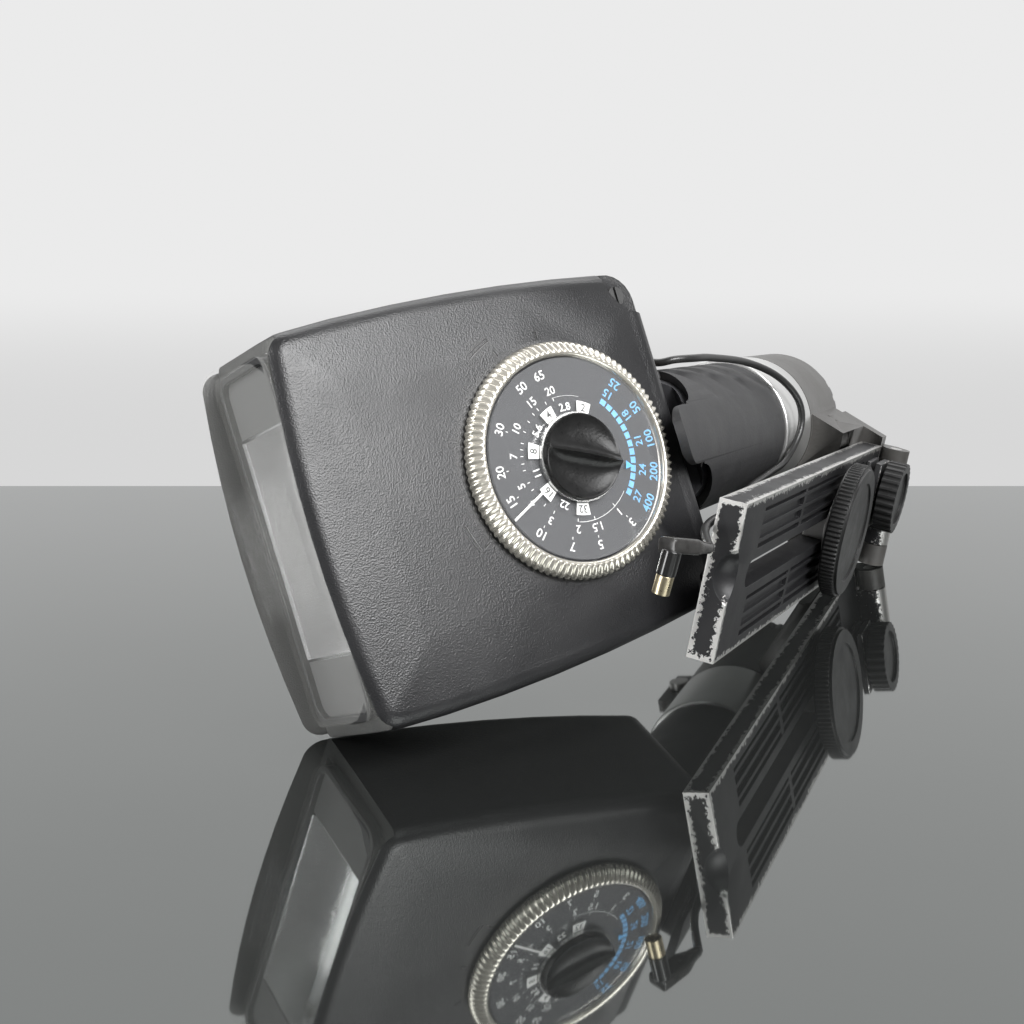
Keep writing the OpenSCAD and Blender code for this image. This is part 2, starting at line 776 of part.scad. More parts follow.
module screw_shoe() {
    color([0.6, 0.6, 0.6]) on_bracket() difference() {
        union() {
            stub_x([rail_out + 0.3, rail_mid, -big_knob_z], 12, 1);
            block([rail_x + 0.6, rail_mid - slot_w / 2 + 0.1, -big_knob_z - 8],
                [rail_out + 0.8, rail_mid + slot_w / 2 - 0.1, -big_knob_z + 8]);
        }
        stub_x([0, rail_mid, -big_knob_z], shank_r + run, 80);
    }
}

module camera_screw() {
    color([0.75, 0.75, 0.76]) on_bracket() {
        stub_x([rail_x - thread_len, rail_mid, -big_knob_z], screw_r, thread_len);
        stub_x([rail_x - 1, rail_mid, -big_knob_z], shank_r, rail_t + 7);
    }
}

module camera_knob() {
    x0 = rail_out + 2.6;
    color([0.08, 0.08, 0.09]) on_bracket() translate([x0, rail_mid, -big_knob_z]) rotate([0, 90, 0])
        difference() {
            union() {
                translate([0, 0, 0.8]) toothed(big_knob_r, big_knob_r - 0.5, 90, 4.6);
                cylinder(r = big_knob_r - 1.2, h = 6.4);
                translate([0, 0, -1]) cylinder(r = 8, h = 2);
            }
            translate([0, 0, -2]) cylinder(r = shank_r, h = 5.4);
            translate([0, 0, 5.8]) cylinder(r = big_knob_r - 6, h = 5);
        }
}

// Both ends of the gland in the side of the neck, in the upright frame
GLAND_IN = [-17.5, -6.4, -36];
GLAND_OUT = [-24.4, -8.9, -36];

// Route of the sync cord in the upright frame, through points chosen by hand
CORD_ROUTE = [GLAND_OUT, [-26.6, -9.6, -35.9], [-28.8, -7, -35], [-28, -2, -33], [-25.6, 3, -31],
    [-24.2, 6.8, -30.4], [-23.8, 10.8, -32], [-22.8, 14.8, -38], [-21.9, 17, -50], [-18.2, 21.2, -74],
    [-11.1, 25.8, -90], [-1.5, 27.9, -99], [7.8, 25.4, -100], [16.2, 20, -90], [18.6, 17.4, -75],
    [20.5, 17, -50], [22.5, 19.5, -25], [24.2, 22.4, 0], [24.8, 23.3, 20], [26.4, 25.4, 34],
    [29.9, 30.6, 50]];

// Ends of the plug's body and pin
PLUG_BACK = [29.9, 30.6, 50];
PLUG_FRONT = [25.4, 24.9, 65];
PLUG_TURN = [27, 25.7, 63.8];
PLUG_TIP = [36.7, 19.3, 63.8];

// Point on the smooth curve through the route, at a step from point k to the next
function route_at(k, t) =
    let (n = len(CORD_ROUTE),
         p0 = CORD_ROUTE[max(k - 1, 0)],
         p1 = CORD_ROUTE[k],
         p2 = CORD_ROUTE[min(k + 1, n - 1)],
         p3 = CORD_ROUTE[min(k + 2, n - 1)])
    0.5 * (2 * p1 + (p2 - p0) * t + (2 * p0 - 5 * p1 + 4 * p2 - p3) * t * t
        + (3 * p1 - p0 - 3 * p2 + p3) * t * t * t);

// Rings of the cord on each stretch of the route
RING_STEPS = 3;
CORD_PATH = concat([for (k = [0 : len(CORD_ROUTE) - 2]) for (j = [0 : RING_STEPS - 1])
    route_at(k, j / RING_STEPS)], [CORD_ROUTE[len(CORD_ROUTE) - 1]]);

function unit(v) = v / norm(v);

// Direction of the path at a ring
function heading(i) = unit(CORD_PATH[min(i + 1, len(CORD_PATH) - 1)] - CORD_PATH[max(i - 1, 0)]);

// Side direction carried along the path without twist
function sides(i, list) = i >= len(CORD_PATH) ? list
    : sides(i + 1, concat(list, [unit(list[i - 1] - heading(i) * (list[i - 1] * heading(i)))]));

// Turns Z to point from one place to another
module between(a, b, roll = 0) {
    v = b - a;
    translate(a) rotate([0, acos(v[2] / norm(v)), atan2(v[1], v[0])]) rotate([0, 0, roll]) children();
}

module cord_gland() {
    color([0.1, 0.1, 0.1]) lay() between(GLAND_IN, GLAND_OUT) {
        cylinder(r = 3.2, h = norm(GLAND_OUT - GLAND_IN));
        translate([0, 0, 2.8]) cylinder(r = 4, h = 1);
    }
}

module sync_cord() {
    count = 8;
    rings = len(CORD_PATH);
    side = sides(1, [unit(cross(heading(0), [0, 0, 1]))]);
    points = [for (i = [0 : rings - 1]) for (j = [0 : count - 1])
        let (a = 360 * j / count, up = cross(heading(i), side[i]))
        CORD_PATH[i] + cord_d / 2 * (cos(a) * side[i] + sin(a) * up)];
    faces = concat(
        [[for (j = [0 : count - 1]) j]],
        [for (i = [0 : rings - 2]) for (j = [0 : count - 1])
            [i * count + j, (i + 1) * count + j,
                (i + 1) * count + (j + 1) % count, i * count + (j + 1) % count]],
        [[for (j = [count - 1 : -1 : 0]) (rings - 1) * count + j]]);
    color([0.08, 0.08, 0.08]) lay() polyhedron(points, faces);
}

module plug_body() {
    color([0.45, 0.44, 0.43]) lay() difference() {
        between(PLUG_BACK, PLUG_FRONT, 20) translate([-3, -2.1, 0]) cube([6, 4.2, norm(PLUG_FRONT - PLUG_BACK)]);
        between(PLUG_TURN, PLUG_TIP) cylinder(r = 2.5, h = 20);
    }
}

module plug_barrel() {
    color([0.08, 0.08, 0.08]) lay() between(PLUG_TURN, PLUG_TIP) cylinder(r = 2.5, h = 6.6);
}

module plug_pin() {
    color([0.8, 0.7, 0.4]) lay() between(PLUG_TURN, PLUG_TIP) difference() {
        translate([0, 0, 6.6]) cylinder(r = 2.3, h = norm(PLUG_TIP - PLUG_TURN) - 6.6);
        translate([0, 0, 8]) cylinder(r = 1.7, h = 9);
    }
}

head_top_shell();
head_bottom_shell();
front_window();
window_frame();
reflector();
end_panel_low();
end_panel_high();
flash_tube();
tube_holders();
circuit_board();
main_capacitor();
transformer();
tilt_pin();
shell_screws();
ready_lamp();
test_button();
power_switch();
dial_spindle();
scale_disc();
dial_ring();
cursor_disc();
speed_knob();
knob_ring();
neck();
sensor_window();
grip_sleeve();
grip_tube();
foot_tube();
batteries();
upper_contact();
foot_cap();
lower_contact();
clamp_arm();
clamp_screw();
fold_pin();
rail();
lock_block();
lock_screw();
lock_knob();
screw_shoe();
camera_screw();
camera_knob();
cord_gland();
sync_cord();
plug_body();
plug_barrel();
plug_pin();
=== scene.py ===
# %% [markdown]
# # Handle mount flash
# A flash from the film years lies on its side on a dark glass table. Its lamp head carries a large
# exposure dial, its round grip holds the batteries, and a slotted rail for the camera folds up
# beside the grip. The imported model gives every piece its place, so this lesson starts from it and
# adds what the eye sees: soft edges, printed scales, grain, wear and light.

import json

import bmesh
import bpy
import numpy as np
from mathutils import Matrix, Vector


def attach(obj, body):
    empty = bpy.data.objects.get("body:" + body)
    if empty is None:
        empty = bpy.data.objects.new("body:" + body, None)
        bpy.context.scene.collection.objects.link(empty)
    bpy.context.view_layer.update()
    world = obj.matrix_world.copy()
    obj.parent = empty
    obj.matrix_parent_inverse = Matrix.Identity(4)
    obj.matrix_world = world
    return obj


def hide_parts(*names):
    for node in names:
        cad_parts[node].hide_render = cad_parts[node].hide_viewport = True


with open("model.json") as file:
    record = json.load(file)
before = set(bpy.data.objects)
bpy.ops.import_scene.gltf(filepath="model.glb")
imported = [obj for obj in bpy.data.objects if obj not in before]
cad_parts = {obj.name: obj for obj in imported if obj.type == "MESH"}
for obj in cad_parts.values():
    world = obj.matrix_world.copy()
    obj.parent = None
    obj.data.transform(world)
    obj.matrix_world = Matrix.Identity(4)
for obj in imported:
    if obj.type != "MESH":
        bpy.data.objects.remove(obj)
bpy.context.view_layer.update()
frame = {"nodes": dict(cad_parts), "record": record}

# %% [markdown]
# ## The frames of the object
# The flash is drawn upright, with the grip's axis on Z and the lamp towards -Y, and is then laid on
# its side. The head, its dial and the bracket each have a frame of their own inside that one. A
# frame here is a turn and a place, and carrying points through it is one product of arrays. Sizes
# are written in millimetres, as a maker would, and MM turns them into metres.

# %% Frames as a turn and a place
MM = 0.001
Z_AXIS = np.array([0.0, 0.0, 1.0])


def turn(axis, degrees):
    """Rotation matrix about one of the axes X, Y or Z."""
    return np.array(Matrix.Rotation(np.radians(degrees), 3, axis))


def chain(outer, inner):
    """The frame inner, given inside the frame outer, as one frame: turns multiply, places add up."""
    return outer[0] @ inner[0], outer[0] @ inner[1] + outer[1]


def carry(points, where):
    """Points in millimetres in a frame, as points in metres on the table."""
    return (np.asarray(points, float) @ where[0].T + where[1]) * MM


UPRIGHT = turn("X", -4.9) @ turn("Y", 69.5) @ turn("X", 90), np.array([20.1, -40.2, 68.8])
PIVOT = chain(UPRIGHT, (turn("X", -56.3), np.array([-1.5, -6, 2.4])))
HEAD = chain(PIVOT, (np.eye(3), np.array([0, 0, -2.66])))
DIAL = chain(HEAD, (np.eye(3), np.array([-0.9, -27.5, 22.3])))
BRACKET = chain(UPRIGHT, (turn("Z", 60.3), np.zeros(3)))
print("dial centre:", carry([0, 0, 0], DIAL).round(4))

# %% [markdown]
# ## The camera
# The camera looks slightly down on the table, from the lamp's side. Its place and its angle of view
# were worked out from the known sizes of the head and the dial.

# %% Camera
AZIMUTH, PITCH = 23.3, 12.7
CAMERA_AT = (0.1683, -0.4718, 0.1537)
camera_data = bpy.data.cameras.new("camera")
camera_data.sensor_width = 36
camera_data.lens = 55.97
camera_data.clip_start = 0.01
camera = bpy.data.objects.new("camera", camera_data)
camera.location = CAMERA_AT
camera.rotation_euler = (np.radians(90 - PITCH), 0, np.radians(AZIMUTH))
bpy.context.collection.objects.link(camera)
bpy.context.scene.camera = camera
bpy.context.scene.view_settings.view_transform = "Standard"
print("camera at", CAMERA_AT)

# %% [markdown]
# ## Helpers that put arrays into meshes
# A surface is a grid of points with rows along one parameter and columns along the other. All of
# its faces follow from the grid's shape, so no loop over points is needed. A piece then rides on a
# body of the model, stands for the node it replaces, and takes the finish of a slot of the record.

# %% From arrays to pieces
def ride_and_name(piece, body, nodes=()):
    """Parents a piece to its body's empty and hides the nodes that it stands for."""
    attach(piece, body)
    if nodes:
        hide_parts(*nodes)
    return piece


def mesh_piece(name, points, faces, smooth=None):
    """An object from points in metres and faces. Edges sharper than the angle smooth stay sharp."""
    mesh = bpy.data.meshes.new(name)
    mesh.from_pydata(points.tolist(), [], faces)
    shade(mesh, smooth)
    piece = bpy.data.objects.new(name, mesh)
    bpy.context.collection.objects.link(piece)
    return piece


def shade(mesh, smooth):
    """Smooth shading, split where faces meet at more than the angle smooth in degrees."""
    mesh.polygons.foreach_set("use_smooth", [smooth is not None] * len(mesh.polygons))
    if smooth is not None:
        mesh.set_sharp_from_angle(angle=np.radians(smooth))
    mesh.update()


def grid_faces(rows, columns, closed=False):
    """Four-sided faces of a grid of rows by columns; closed joins the last column to the first."""
    across = columns if closed else columns - 1
    i, j = np.meshgrid(np.arange(rows - 1), np.arange(across), indexing="ij")
    k = (j + 1) % columns
    row, below = i * columns, (i + 1) * columns
    return np.stack([row + j, row + k, below + k, below + j], -1).reshape(-1, 4).tolist()


def grid_piece(name, grid, where, smooth, extra=(), flip=False):
    """An object from a grid of points in a frame, closed round its columns. The faces extra are
    added to the grid's own, which flip turns over."""
    faces = grid_faces(*grid.shape[:2], closed=True)
    if flip:
        faces = [face[::-1] for face in faces]
    return mesh_piece(name, carry(grid.reshape(-1, 3), where), faces + list(extra), smooth)


# %% [markdown]
# ## Rounded copies
# The model's own nodes have knife-sharp edges. Real castings and mouldings catch the light on edges
# that are a few tenths of a millimetre round. A copy of the node is merged, its flat areas become
# single faces, and a Bevel modifier rounds what is left.

# %% Copies of nodes with rounded edges
BODIES = frame["record"]["behaviour"]["bodies"]
BODY_OF = {node_name: body for body, nodes in BODIES.items() for node_name in nodes}
SLOT_OF = {part["node"]: part["material_slot"] for part in frame["record"]["subparts"]}


MERGE_WITHIN = 0.002 * MM
FLAT_WITHIN = np.radians(0.5)


def rounded_copy(node_name, width, segments=2, smooth=35):
    """A merged copy of a node, its sharp edges rounded by width in millimetres."""
    mesh = frame["nodes"][node_name].data.copy()
    mesh.materials.clear()
    work = bmesh.new()
    work.from_mesh(mesh)
    bmesh.ops.remove_doubles(work, verts=work.verts, dist=MERGE_WITHIN)
    bmesh.ops.dissolve_limit(work, angle_limit=FLAT_WITHIN, verts=work.verts, edges=work.edges)
    work.to_mesh(mesh)
    work.free()
    shade(mesh, smooth)
    piece = bpy.data.objects.new(node_name + "_look", mesh)
    bpy.context.collection.objects.link(piece)
    if width:
        bevel = piece.modifiers.new("rounded edges", "BEVEL")
        bevel.width = width * MM
        bevel.segments = segments
        bevel.limit_method = "ANGLE"
        bevel.angle_limit = np.radians(smooth)
    return ride_and_name(piece, BODY_OF[node_name], [node_name])


# %% [markdown]
# ## The cord
# The sync cord is one length of black flex 2.4 mm thick. It leaves the grip behind the head, loops
# over the back of the grip and comes forward behind the rail to its plug. Its line is a smooth
# curve through given points, the same as in the model, and a curve object with a round
# bevel gives it its thickness. The bevel is one metre and each point's radius makes it small,
# because a curve's box grows by the points' radius, which would otherwise be a metre.

# %% The cord's line
CORD_POINTS = np.array([[-24.4, -8.9, -36], [-26.6, -9.6, -35.9], [-28.8, -7, -35], [-28, -2, -33],
    [-25.6, 3, -31], [-24.2, 6.8, -30.4], [-23.8, 10.8, -32], [-22.8, 14.8, -38], [-21.9, 17, -50],
    [-18.2, 21.2, -74], [-11.1, 25.8, -90], [-1.5, 27.9, -99], [7.8, 25.4, -100], [16.2, 20, -90],
    [18.6, 17.4, -75], [20.5, 17, -50], [22.5, 19.5, -25], [24.2, 22.4, 0], [24.8, 23.3, 20],
    [26.4, 25.4, 34], [29.9, 30.6, 50]])
CORD_THICK = 2.4
CORD_STEPS = 6


def through(points, steps):
    """Catmull-Rom curve: between two points the line is a cubic whose slopes there are half the
    difference of the points on either side."""
    ends = np.vstack([points[:1], points, points[-1:]])
    t = np.tile(np.arange(steps) / steps, len(points) - 1)[:, None]
    k = np.repeat(np.arange(len(points) - 1), steps)
    a, b, c, d = (ends[k + n] for n in range(4))
    bend, twist = 2 * a - 5 * b + 4 * c - d, 3 * b - a - 3 * c + d
    line = 0.5 * (2 * b + (c - a) * t + bend * t**2 + twist * t**3)
    return np.vstack([line, points[-1:]])


cord_line = carry(through(CORD_POINTS, CORD_STEPS), UPRIGHT)

# %% The cord and its plug
cord_curve = bpy.data.curves.new("sync_cord_line", "CURVE")
cord_curve.dimensions = "3D"
cord_curve.bevel_depth = 1
cord_curve.bevel_resolution = 5
cord_curve.use_fill_caps = True
spline = cord_curve.splines.new("POLY")
spline.points.add(len(cord_line) - 1)
spline.points.foreach_set("co", np.column_stack([cord_line, np.ones(len(cord_line))]).ravel())
spline.points.foreach_set("radius", np.full(len(cord_line), CORD_THICK / 2 * MM))
spline.use_smooth = True
cord = bpy.data.objects.new("sync_cord_look", cord_curve)
bpy.context.collection.objects.link(cord)
ride_and_name(cord, "handle", ["sync_cord"])
print("cord points:", len(cord_line))

# %% The plug's moulding
PLUG_BACK, PLUG_FRONT = CORD_POINTS[-1], np.array([25.4, 24.9, 65])
PLUG_SPIN = 20
PLUG_EDGES = {"plug_barrel": 0.3, "plug_pin": 0.15, "cord_gland": 0.5}


def lofted(stations, around=64):
    """Rows of height, half width a, half depth b and power n. Each row is a ring on the curve
    |x/a|^n + |y/b|^n = 1: round at n = 2, and nearer to a box as n grows."""
    angle = np.linspace(0, 2 * np.pi, around, endpoint=False)[None, :]
    height, a, b, n = (np.array(stations, float)[:, k][:, None] for k in range(4))
    x = a * np.sign(np.cos(angle)) * np.abs(np.cos(angle)) ** (2 / n)
    y = b * np.sign(np.sin(angle)) * np.abs(np.sin(angle)) ** (2 / n)
    return np.stack([x, y, height + 0 * angle], -1)


plug_run = PLUG_FRONT - PLUG_BACK
plug_long = float(np.linalg.norm(plug_run))
plug_swing = np.degrees(np.arctan2(plug_run[1], plug_run[0]))
plug_lean = np.degrees(np.arccos(plug_run[2] / plug_long))
PLUG = chain(UPRIGHT, (turn("Z", plug_swing) @ turn("Y", plug_lean) @ turn("Z", PLUG_SPIN), PLUG_BACK))
PLUG_STATIONS = [(0, 0.01, 0.01, 2), (0, 1.25, 1.25, 2), (0.3, 1.5, 1.45, 2), (3.2, 1.9, 1.6, 2.4),
    (5.2, 2.6, 1.85, 3), (6.6, 2.95, 2.05, 4), (7.6, 3, 2.1, 5), (plug_long - 0.7, 3, 2.1, 5),
    (plug_long - 0.2, 2.85, 1.95, 4.5), (plug_long, 2.4, 1.6, 4), (plug_long, 0.01, 0.01, 2)]
plug = grid_piece("plug_body_look", lofted(PLUG_STATIONS), PLUG, 40)

looks = {"sync_cord": cord, "plug_body": ride_and_name(plug, "handle", ["plug_body"])}
for node_name, width in PLUG_EDGES.items():
    looks[node_name] = rounded_copy(node_name, width, 3)

# %% [markdown]
# ## Castings, mouldings and turned pieces
# Every outside node gets a rounded copy. The width follows what the piece is made of: pressed and
# milled metal is nearly sharp, moulded plastic is softer.

# %% Rounded copies of the outside nodes
EDGE_WIDTHS = {"head_top_shell": 0.25, "head_bottom_shell": 0.25, "front_window": 0.0,
    "window_frame": 0.3, "neck": 0.5, "grip_sleeve": 0.5, "grip_tube": 0.3, "foot_tube": 0.5,
    "foot_cap": 0.4, "clamp_arm": 0.6, "rail": 0.35, "lock_block": 0.5, "lock_knob": 0.35,
    "camera_knob": 0.12, "screw_shoe": 0.2, "camera_screw": 0.4, "lock_screw": 0.4, "fold_pin": 0.3,
    "clamp_screw": 0.4, "shell_screws": 0.15, "power_switch": 0.3, "test_button": 0.3,
    "ready_lamp": 0.4, "sensor_window": 0.3, "reflector": 0.0}
for node_name, width in EDGE_WIDTHS.items():
    looks[node_name] = rounded_copy(node_name, width)
print("copies of nodes:", len(EDGE_WIDTHS) + len(PLUG_EDGES))

# %% [markdown]
# ## The dial's knurled ring
# The ring is moulded from clear plastic over bright metal, and its grip is a cone of a hundred
# small rounded teeth. Its surface is a profile carried round the axis. The teeth are a wave that is
# added to the profile, strongest on the cone and nought at the inner rim.

# %% Knurled ring
TEETH, PER_TOOTH = 100, 8
TOOTH_DEPTH, TOOTH_LEAN, RING_HIGH = 0.45, 0.45, 5
RING_PROFILE = np.array([[28.1, 0, 0], [28.1, 4.1, 0], [28.5, 4.75, 0], [29.0, 5.0, 0],
    [29.5, 4.95, 0.2], [30.1, 4.7, 0.7], [31.0, 4.2, 1], [31.9, 3.5, 1], [32.4, 2.7, 1],
    [32.7, 1.8, 1], [32.75, 0.9, 1], [32.6, 0.3, 0.8], [32.2, 0, 0.3]])


def knurled_ring(profile, teeth, depth, lean):
    """Profile rows of radius, height z and share of the tooth, turned round Z. The radius gains
    depth times the wave sign(c) |c|^0.7 with c = cos(teeth * angle + 2 pi lean z / ring's height),
    which leans by lean teeth from top to bottom."""
    around = np.linspace(0, 2 * np.pi, teeth * PER_TOOTH, endpoint=False)[None, :]
    radius, height, share = (profile[:, k][:, None] for k in range(3))
    wave = np.cos(teeth * around + 2 * np.pi * lean * height / RING_HIGH)
    wave = np.sign(wave) * np.abs(wave) ** 0.7
    r = radius + depth * share * (wave - 0.6) * 0.6
    z = height + 0.4 * depth * share * (wave - 1) * (height > 0.5) + 0 * around
    return np.stack([r * np.cos(around), r * np.sin(around), z], -1)


ring_grid = knurled_ring(RING_PROFILE, TEETH, TOOTH_DEPTH, TOOTH_LEAN)
rows, columns = ring_grid.shape[:2]
first = np.arange(columns)
after = (first + 1) % columns
last_row = (rows - 1) * columns
underside = np.stack([first, after, last_row + after, last_row + first], -1).tolist()
ring = grid_piece("dial_ring_look", ring_grid, DIAL, 60, underside, flip=True)
looks["dial_ring"] = ride_and_name(ring, "film_dial", ["dial_ring"])
print("ring points:", rows * columns)

# %% [markdown]
# ## The speed knob
# The middle knob is a black cap, scooped out on both sides of a thin ridge that the fingers turn.
# It is a height over a disc: the height falls off quickly on both sides of the ridge's line, and
# rises again a little at the rim.

# %% Scooped knob
RIDGE_ANGLE, RIDGE_WIDE = 67.7, 1.5
KNOB_R, KNOB_LOW, KNOB_TOP = 11.75, 4.75, 11.1
KNOB_FLOOR, KNOB_RIM, RIM_FROM, RIM_DROP = 1.5, 1.7, 0.96, 0.7


def scooped_knob(radius, low, top, ridge, rings=44, around=128):
    """Rings of points from the middle out and down the side. At the share s of the radius and the
    distance d from the ridge's line, the height is a floor, a crest that fades by
    exp(-(d / width)^0.9), and a rim that rises by s^5 and is rounded off at the edge."""
    share = np.linspace(0, 1, rings)[:, None]
    angle = np.linspace(0, 2 * np.pi, around, endpoint=False)[None, :]
    x, y = share * radius * np.cos(angle), share * radius * np.sin(angle)
    off = np.abs(-np.sin(np.radians(ridge)) * x + np.cos(np.radians(ridge)) * y)
    crest = (top - low - 2.2) * (1 - 0.55 * share**3) * np.exp(-(off / RIDGE_WIDE) ** 0.9)
    height = low + KNOB_FLOOR + crest + KNOB_RIM * share**5
    edge_share = np.clip((share - RIM_FROM) / (1 - RIM_FROM), 0, 1)
    top_rows = np.stack([x, y, height - RIM_DROP * edge_share**2], -1)
    side = np.stack([radius * np.cos(angle), radius * np.sin(angle), 0 * angle + low], -1)
    return np.concatenate([top_rows, side], 0)


knob_grid = scooped_knob(KNOB_R, KNOB_LOW, KNOB_TOP, RIDGE_ANGLE)
rows, columns = knob_grid.shape[:2]
underside = [list(range((rows - 1) * columns, rows * columns))[::-1]]
knob = grid_piece("speed_knob_look", knob_grid, DIAL, 50, underside)
looks["speed_knob"] = ride_and_name(knob, "speed_dial", ["speed_knob"])
print("knob points:", rows * columns)

# %% [markdown]
# ## The dial's spindle
# The dial turns on a stepped steel pin. It is a turned piece: a profile of radius and height that
# goes once round the axis, closed at both ends on the axis itself.

# %% Turned spindle
def turned(profile, around=48):
    """Rows of radius and height turned round Z, from the lowest row up."""
    angle = np.linspace(0, 2 * np.pi, around, endpoint=False)[None, :]
    radius, height = (np.array(profile, float)[:, k][:, None] for k in range(2))
    return np.stack([radius * np.cos(angle), radius * np.sin(angle), height + 0 * angle], -1)


SPINDLE = [(0.01, -6.8), (5, -6.8), (5, -5.2), (3, -5.2), (3, 5.4), (2.7, 5.8), (0.01, 5.8)]
spindle = grid_piece("dial_spindle_look", turned(SPINDLE), DIAL, 40)
looks["dial_spindle"] = ride_and_name(spindle, "head", ["dial_spindle"])
print("spindle points:", len(spindle.data.vertices))

# %% [markdown]
# ## Printed numbers and marks
# The dial's scales are thin ink on plastic. Numbers are text turned into flat meshes, fitted to
# their height and laid round the axis at their angles, with their tops outwards or inwards. Marks
# are strips between two radii. All of them lie a few hundredths of a millimetre above the disc.

# %% Numbers round an axis
PLATE_TOP, COVER_TOP = 3.4, 4.7
INK = 0.04
ON_PLATE, ON_COVER, OVER_COVER_INK = PLATE_TOP + INK, COVER_TOP + INK, COVER_TOP + 2 * INK


def flat_text(text):
    """Points and faces of a text as a flat mesh, centred, one unit high."""
    curve = bpy.data.curves.new("ink", "FONT")
    curve.body = text
    curve.resolution_u = 3
    curve.offset = 0.012
    holder = bpy.data.objects.new("ink", curve)
    bpy.context.collection.objects.link(holder)
    shown = holder.evaluated_get(bpy.context.evaluated_depsgraph_get())
    mesh = bpy.data.meshes.new_from_object(shown)
    points = np.zeros(len(mesh.vertices) * 3)
    mesh.vertices.foreach_get("co", points)
    points = points.reshape(-1, 3)
    faces = [list(p.vertices) for p in mesh.polygons]
    bpy.data.objects.remove(holder)
    low, high = points.min(0), points.max(0)
    return (points - (low + high) / 2) / (high[1] - low[1]), faces


def numbers_round(labels, radius, size, height, outward=True):
    """Each label (text, angle in degrees) at a radius; its up direction points outwards, or
    inwards when outward is False. Gives the points and faces of them all."""
    points, faces, count = [], [], 0
    for text, angle in labels:
        flat, its_faces = flat_text(text)
        spin = turn("Z", angle - 90 if outward else angle + 90)
        place = radius * np.array([np.cos(np.radians(angle)), np.sin(np.radians(angle)), 0])
        points.append(flat * size @ spin.T + place + Z_AXIS * height)
        faces += [[v + count for v in face] for face in its_faces]
        count += len(flat)
    return np.concatenate(points), faces


def strips_round(strips, height, parts=6):
    """Each strip (angle from, angle to, radius from, radius to) as a bent band of parts faces."""
    points, faces, count = [], [], 0
    for a0, a1, r0, r1 in strips:
        angle = np.radians(np.linspace(a0, a1, parts + 1))[None, :]
        radius = np.array([[r0], [r1]])
        flat = height + 0 * radius * angle
        band = np.stack([radius * np.cos(angle), radius * np.sin(angle), flat], -1)
        points.append(band.reshape(-1, 3))
        faces += [[v + count for v in face][::-1] for face in grid_faces(2, parts + 1)]
        count += 2 * (parts + 1)
    return np.concatenate(points), faces


def surface_marks_piece(name, parts, where, body):
    """One piece from several (points, faces) pairs in a frame."""
    points, faces, count = [], [], 0
    for its_points, its_faces in parts:
        points.append(its_points)
        faces += [[v + count for v in face] for face in its_faces]
        count += len(its_points)
    piece = mesh_piece(name, carry(np.concatenate(points), where), faces)
    return ride_and_name(piece, body)


# %% The printed scales
def dashes(angles, r0, r1, wide):
    """Radial marks of a width in millimetres."""
    half = [np.degrees(wide / 2 / r1)] * len(angles)
    return [(a - h, a + h, r0, r1) for a, h in zip(angles, half)]


FEET = [("65", 188.6), ("50", 204.6), ("30", 238), ("20", 265.8), ("15", 285.1), ("10", 313.5),
    ("7", 337.7), ("5", 359.5), ("3", 29.5)]
METRES = [("20", 184.8), ("15", 205.2), ("10", 231.9), ("7", 255.1), ("5", 279.6), ("4", 295.6),
    ("3", 316.4), ("2", 342.8), ("1.5", 1.3), ("1", 27.1)]
BETWEEN = [194, 212, 221, 243, 249, 262, 268, 287, 305]
ARCS = [(-16, 45, 17.25, 17.4), (157, 186, 17.25, 17.33)]
DASH = 0.22
metre_dashes = dashes([angle for _, angle in METRES] + BETWEEN, 16.4, 17.3, DASH)
feet_dashes = dashes([angle for _, angle in FEET[2:]], 21.6, 22.3, DASH)
white_ink = surface_marks_piece("distance_scales", [
    numbers_round(FEET, 24.2, 2.55, ON_PLATE), numbers_round(METRES, 19.4, 2.3, ON_PLATE),
    strips_round(ARCS, ON_PLATE, 40), strips_round(metre_dashes, ON_PLATE, 1),
    strips_round(feet_dashes, ON_PLATE, 1)], DIAL, "film_dial")

SPEEDS = [("25", 130.3), ("50", 110.7), ("100", 89.7), ("200", 68.5), ("400", 47.8)]
DEGREES = [("15", 131.9), ("18", 110.5), ("21", 89.4), ("24", 68.4), ("27", 47.9)]
BLOCK_FROM, BLOCK_STEP, BLOCK_HALF = 47.2, 7.05, 2.7
BLOCKS = [BLOCK_FROM + BLOCK_STEP * k for k in range(13)]
blocks = [(angle - BLOCK_HALF, angle + BLOCK_HALF, 18.1, 19.7) for angle in BLOCKS]
blue_ink = surface_marks_piece("speed_scales", [numbers_round(SPEEDS, 25.7, 2.6, ON_PLATE, outward=False),
    numbers_round(DEGREES, 21.9, 2.4, ON_PLATE, outward=False), strips_round(blocks, ON_PLATE)],
    DIAL, "film_dial")
print("ink points:", len(white_ink.data.vertices) + len(blue_ink.data.vertices))

# %% The aperture numbers, the line and the arrow on the clear cover
FIRST_STOP, STOP_STEP = 153.6, 24.1
STOPS = [(text, FIRST_STOP + STOP_STEP * k) for k, text in
    enumerate(["2", "2.8", "4", "5.6", "8", "11", "16", "22", "32"])]
BOX_HALF = 8.3
LINE_FROM, LINE_TO, LINE_HALF, LINE_ANGLE = 14.9, 27.4, 0.33, -65.6
ARROW_TIP, ARROW_BACK, ARROW_HALF, ARROW_ANGLE = 18.0, 15.6, 1.15, 69.3
boxes = [(angle - BOX_HALF, angle + BOX_HALF, 12.4, 15.7) for _, angle in STOPS[::2]]
line_corners = np.array([[LINE_FROM, -LINE_HALF, 0], [LINE_TO, -LINE_HALF, 0],
    [LINE_TO, LINE_HALF, 0], [LINE_FROM, LINE_HALF, 0]])
pointer_line = line_corners @ turn("Z", LINE_ANGLE).T + Z_AXIS * OVER_COVER_INK
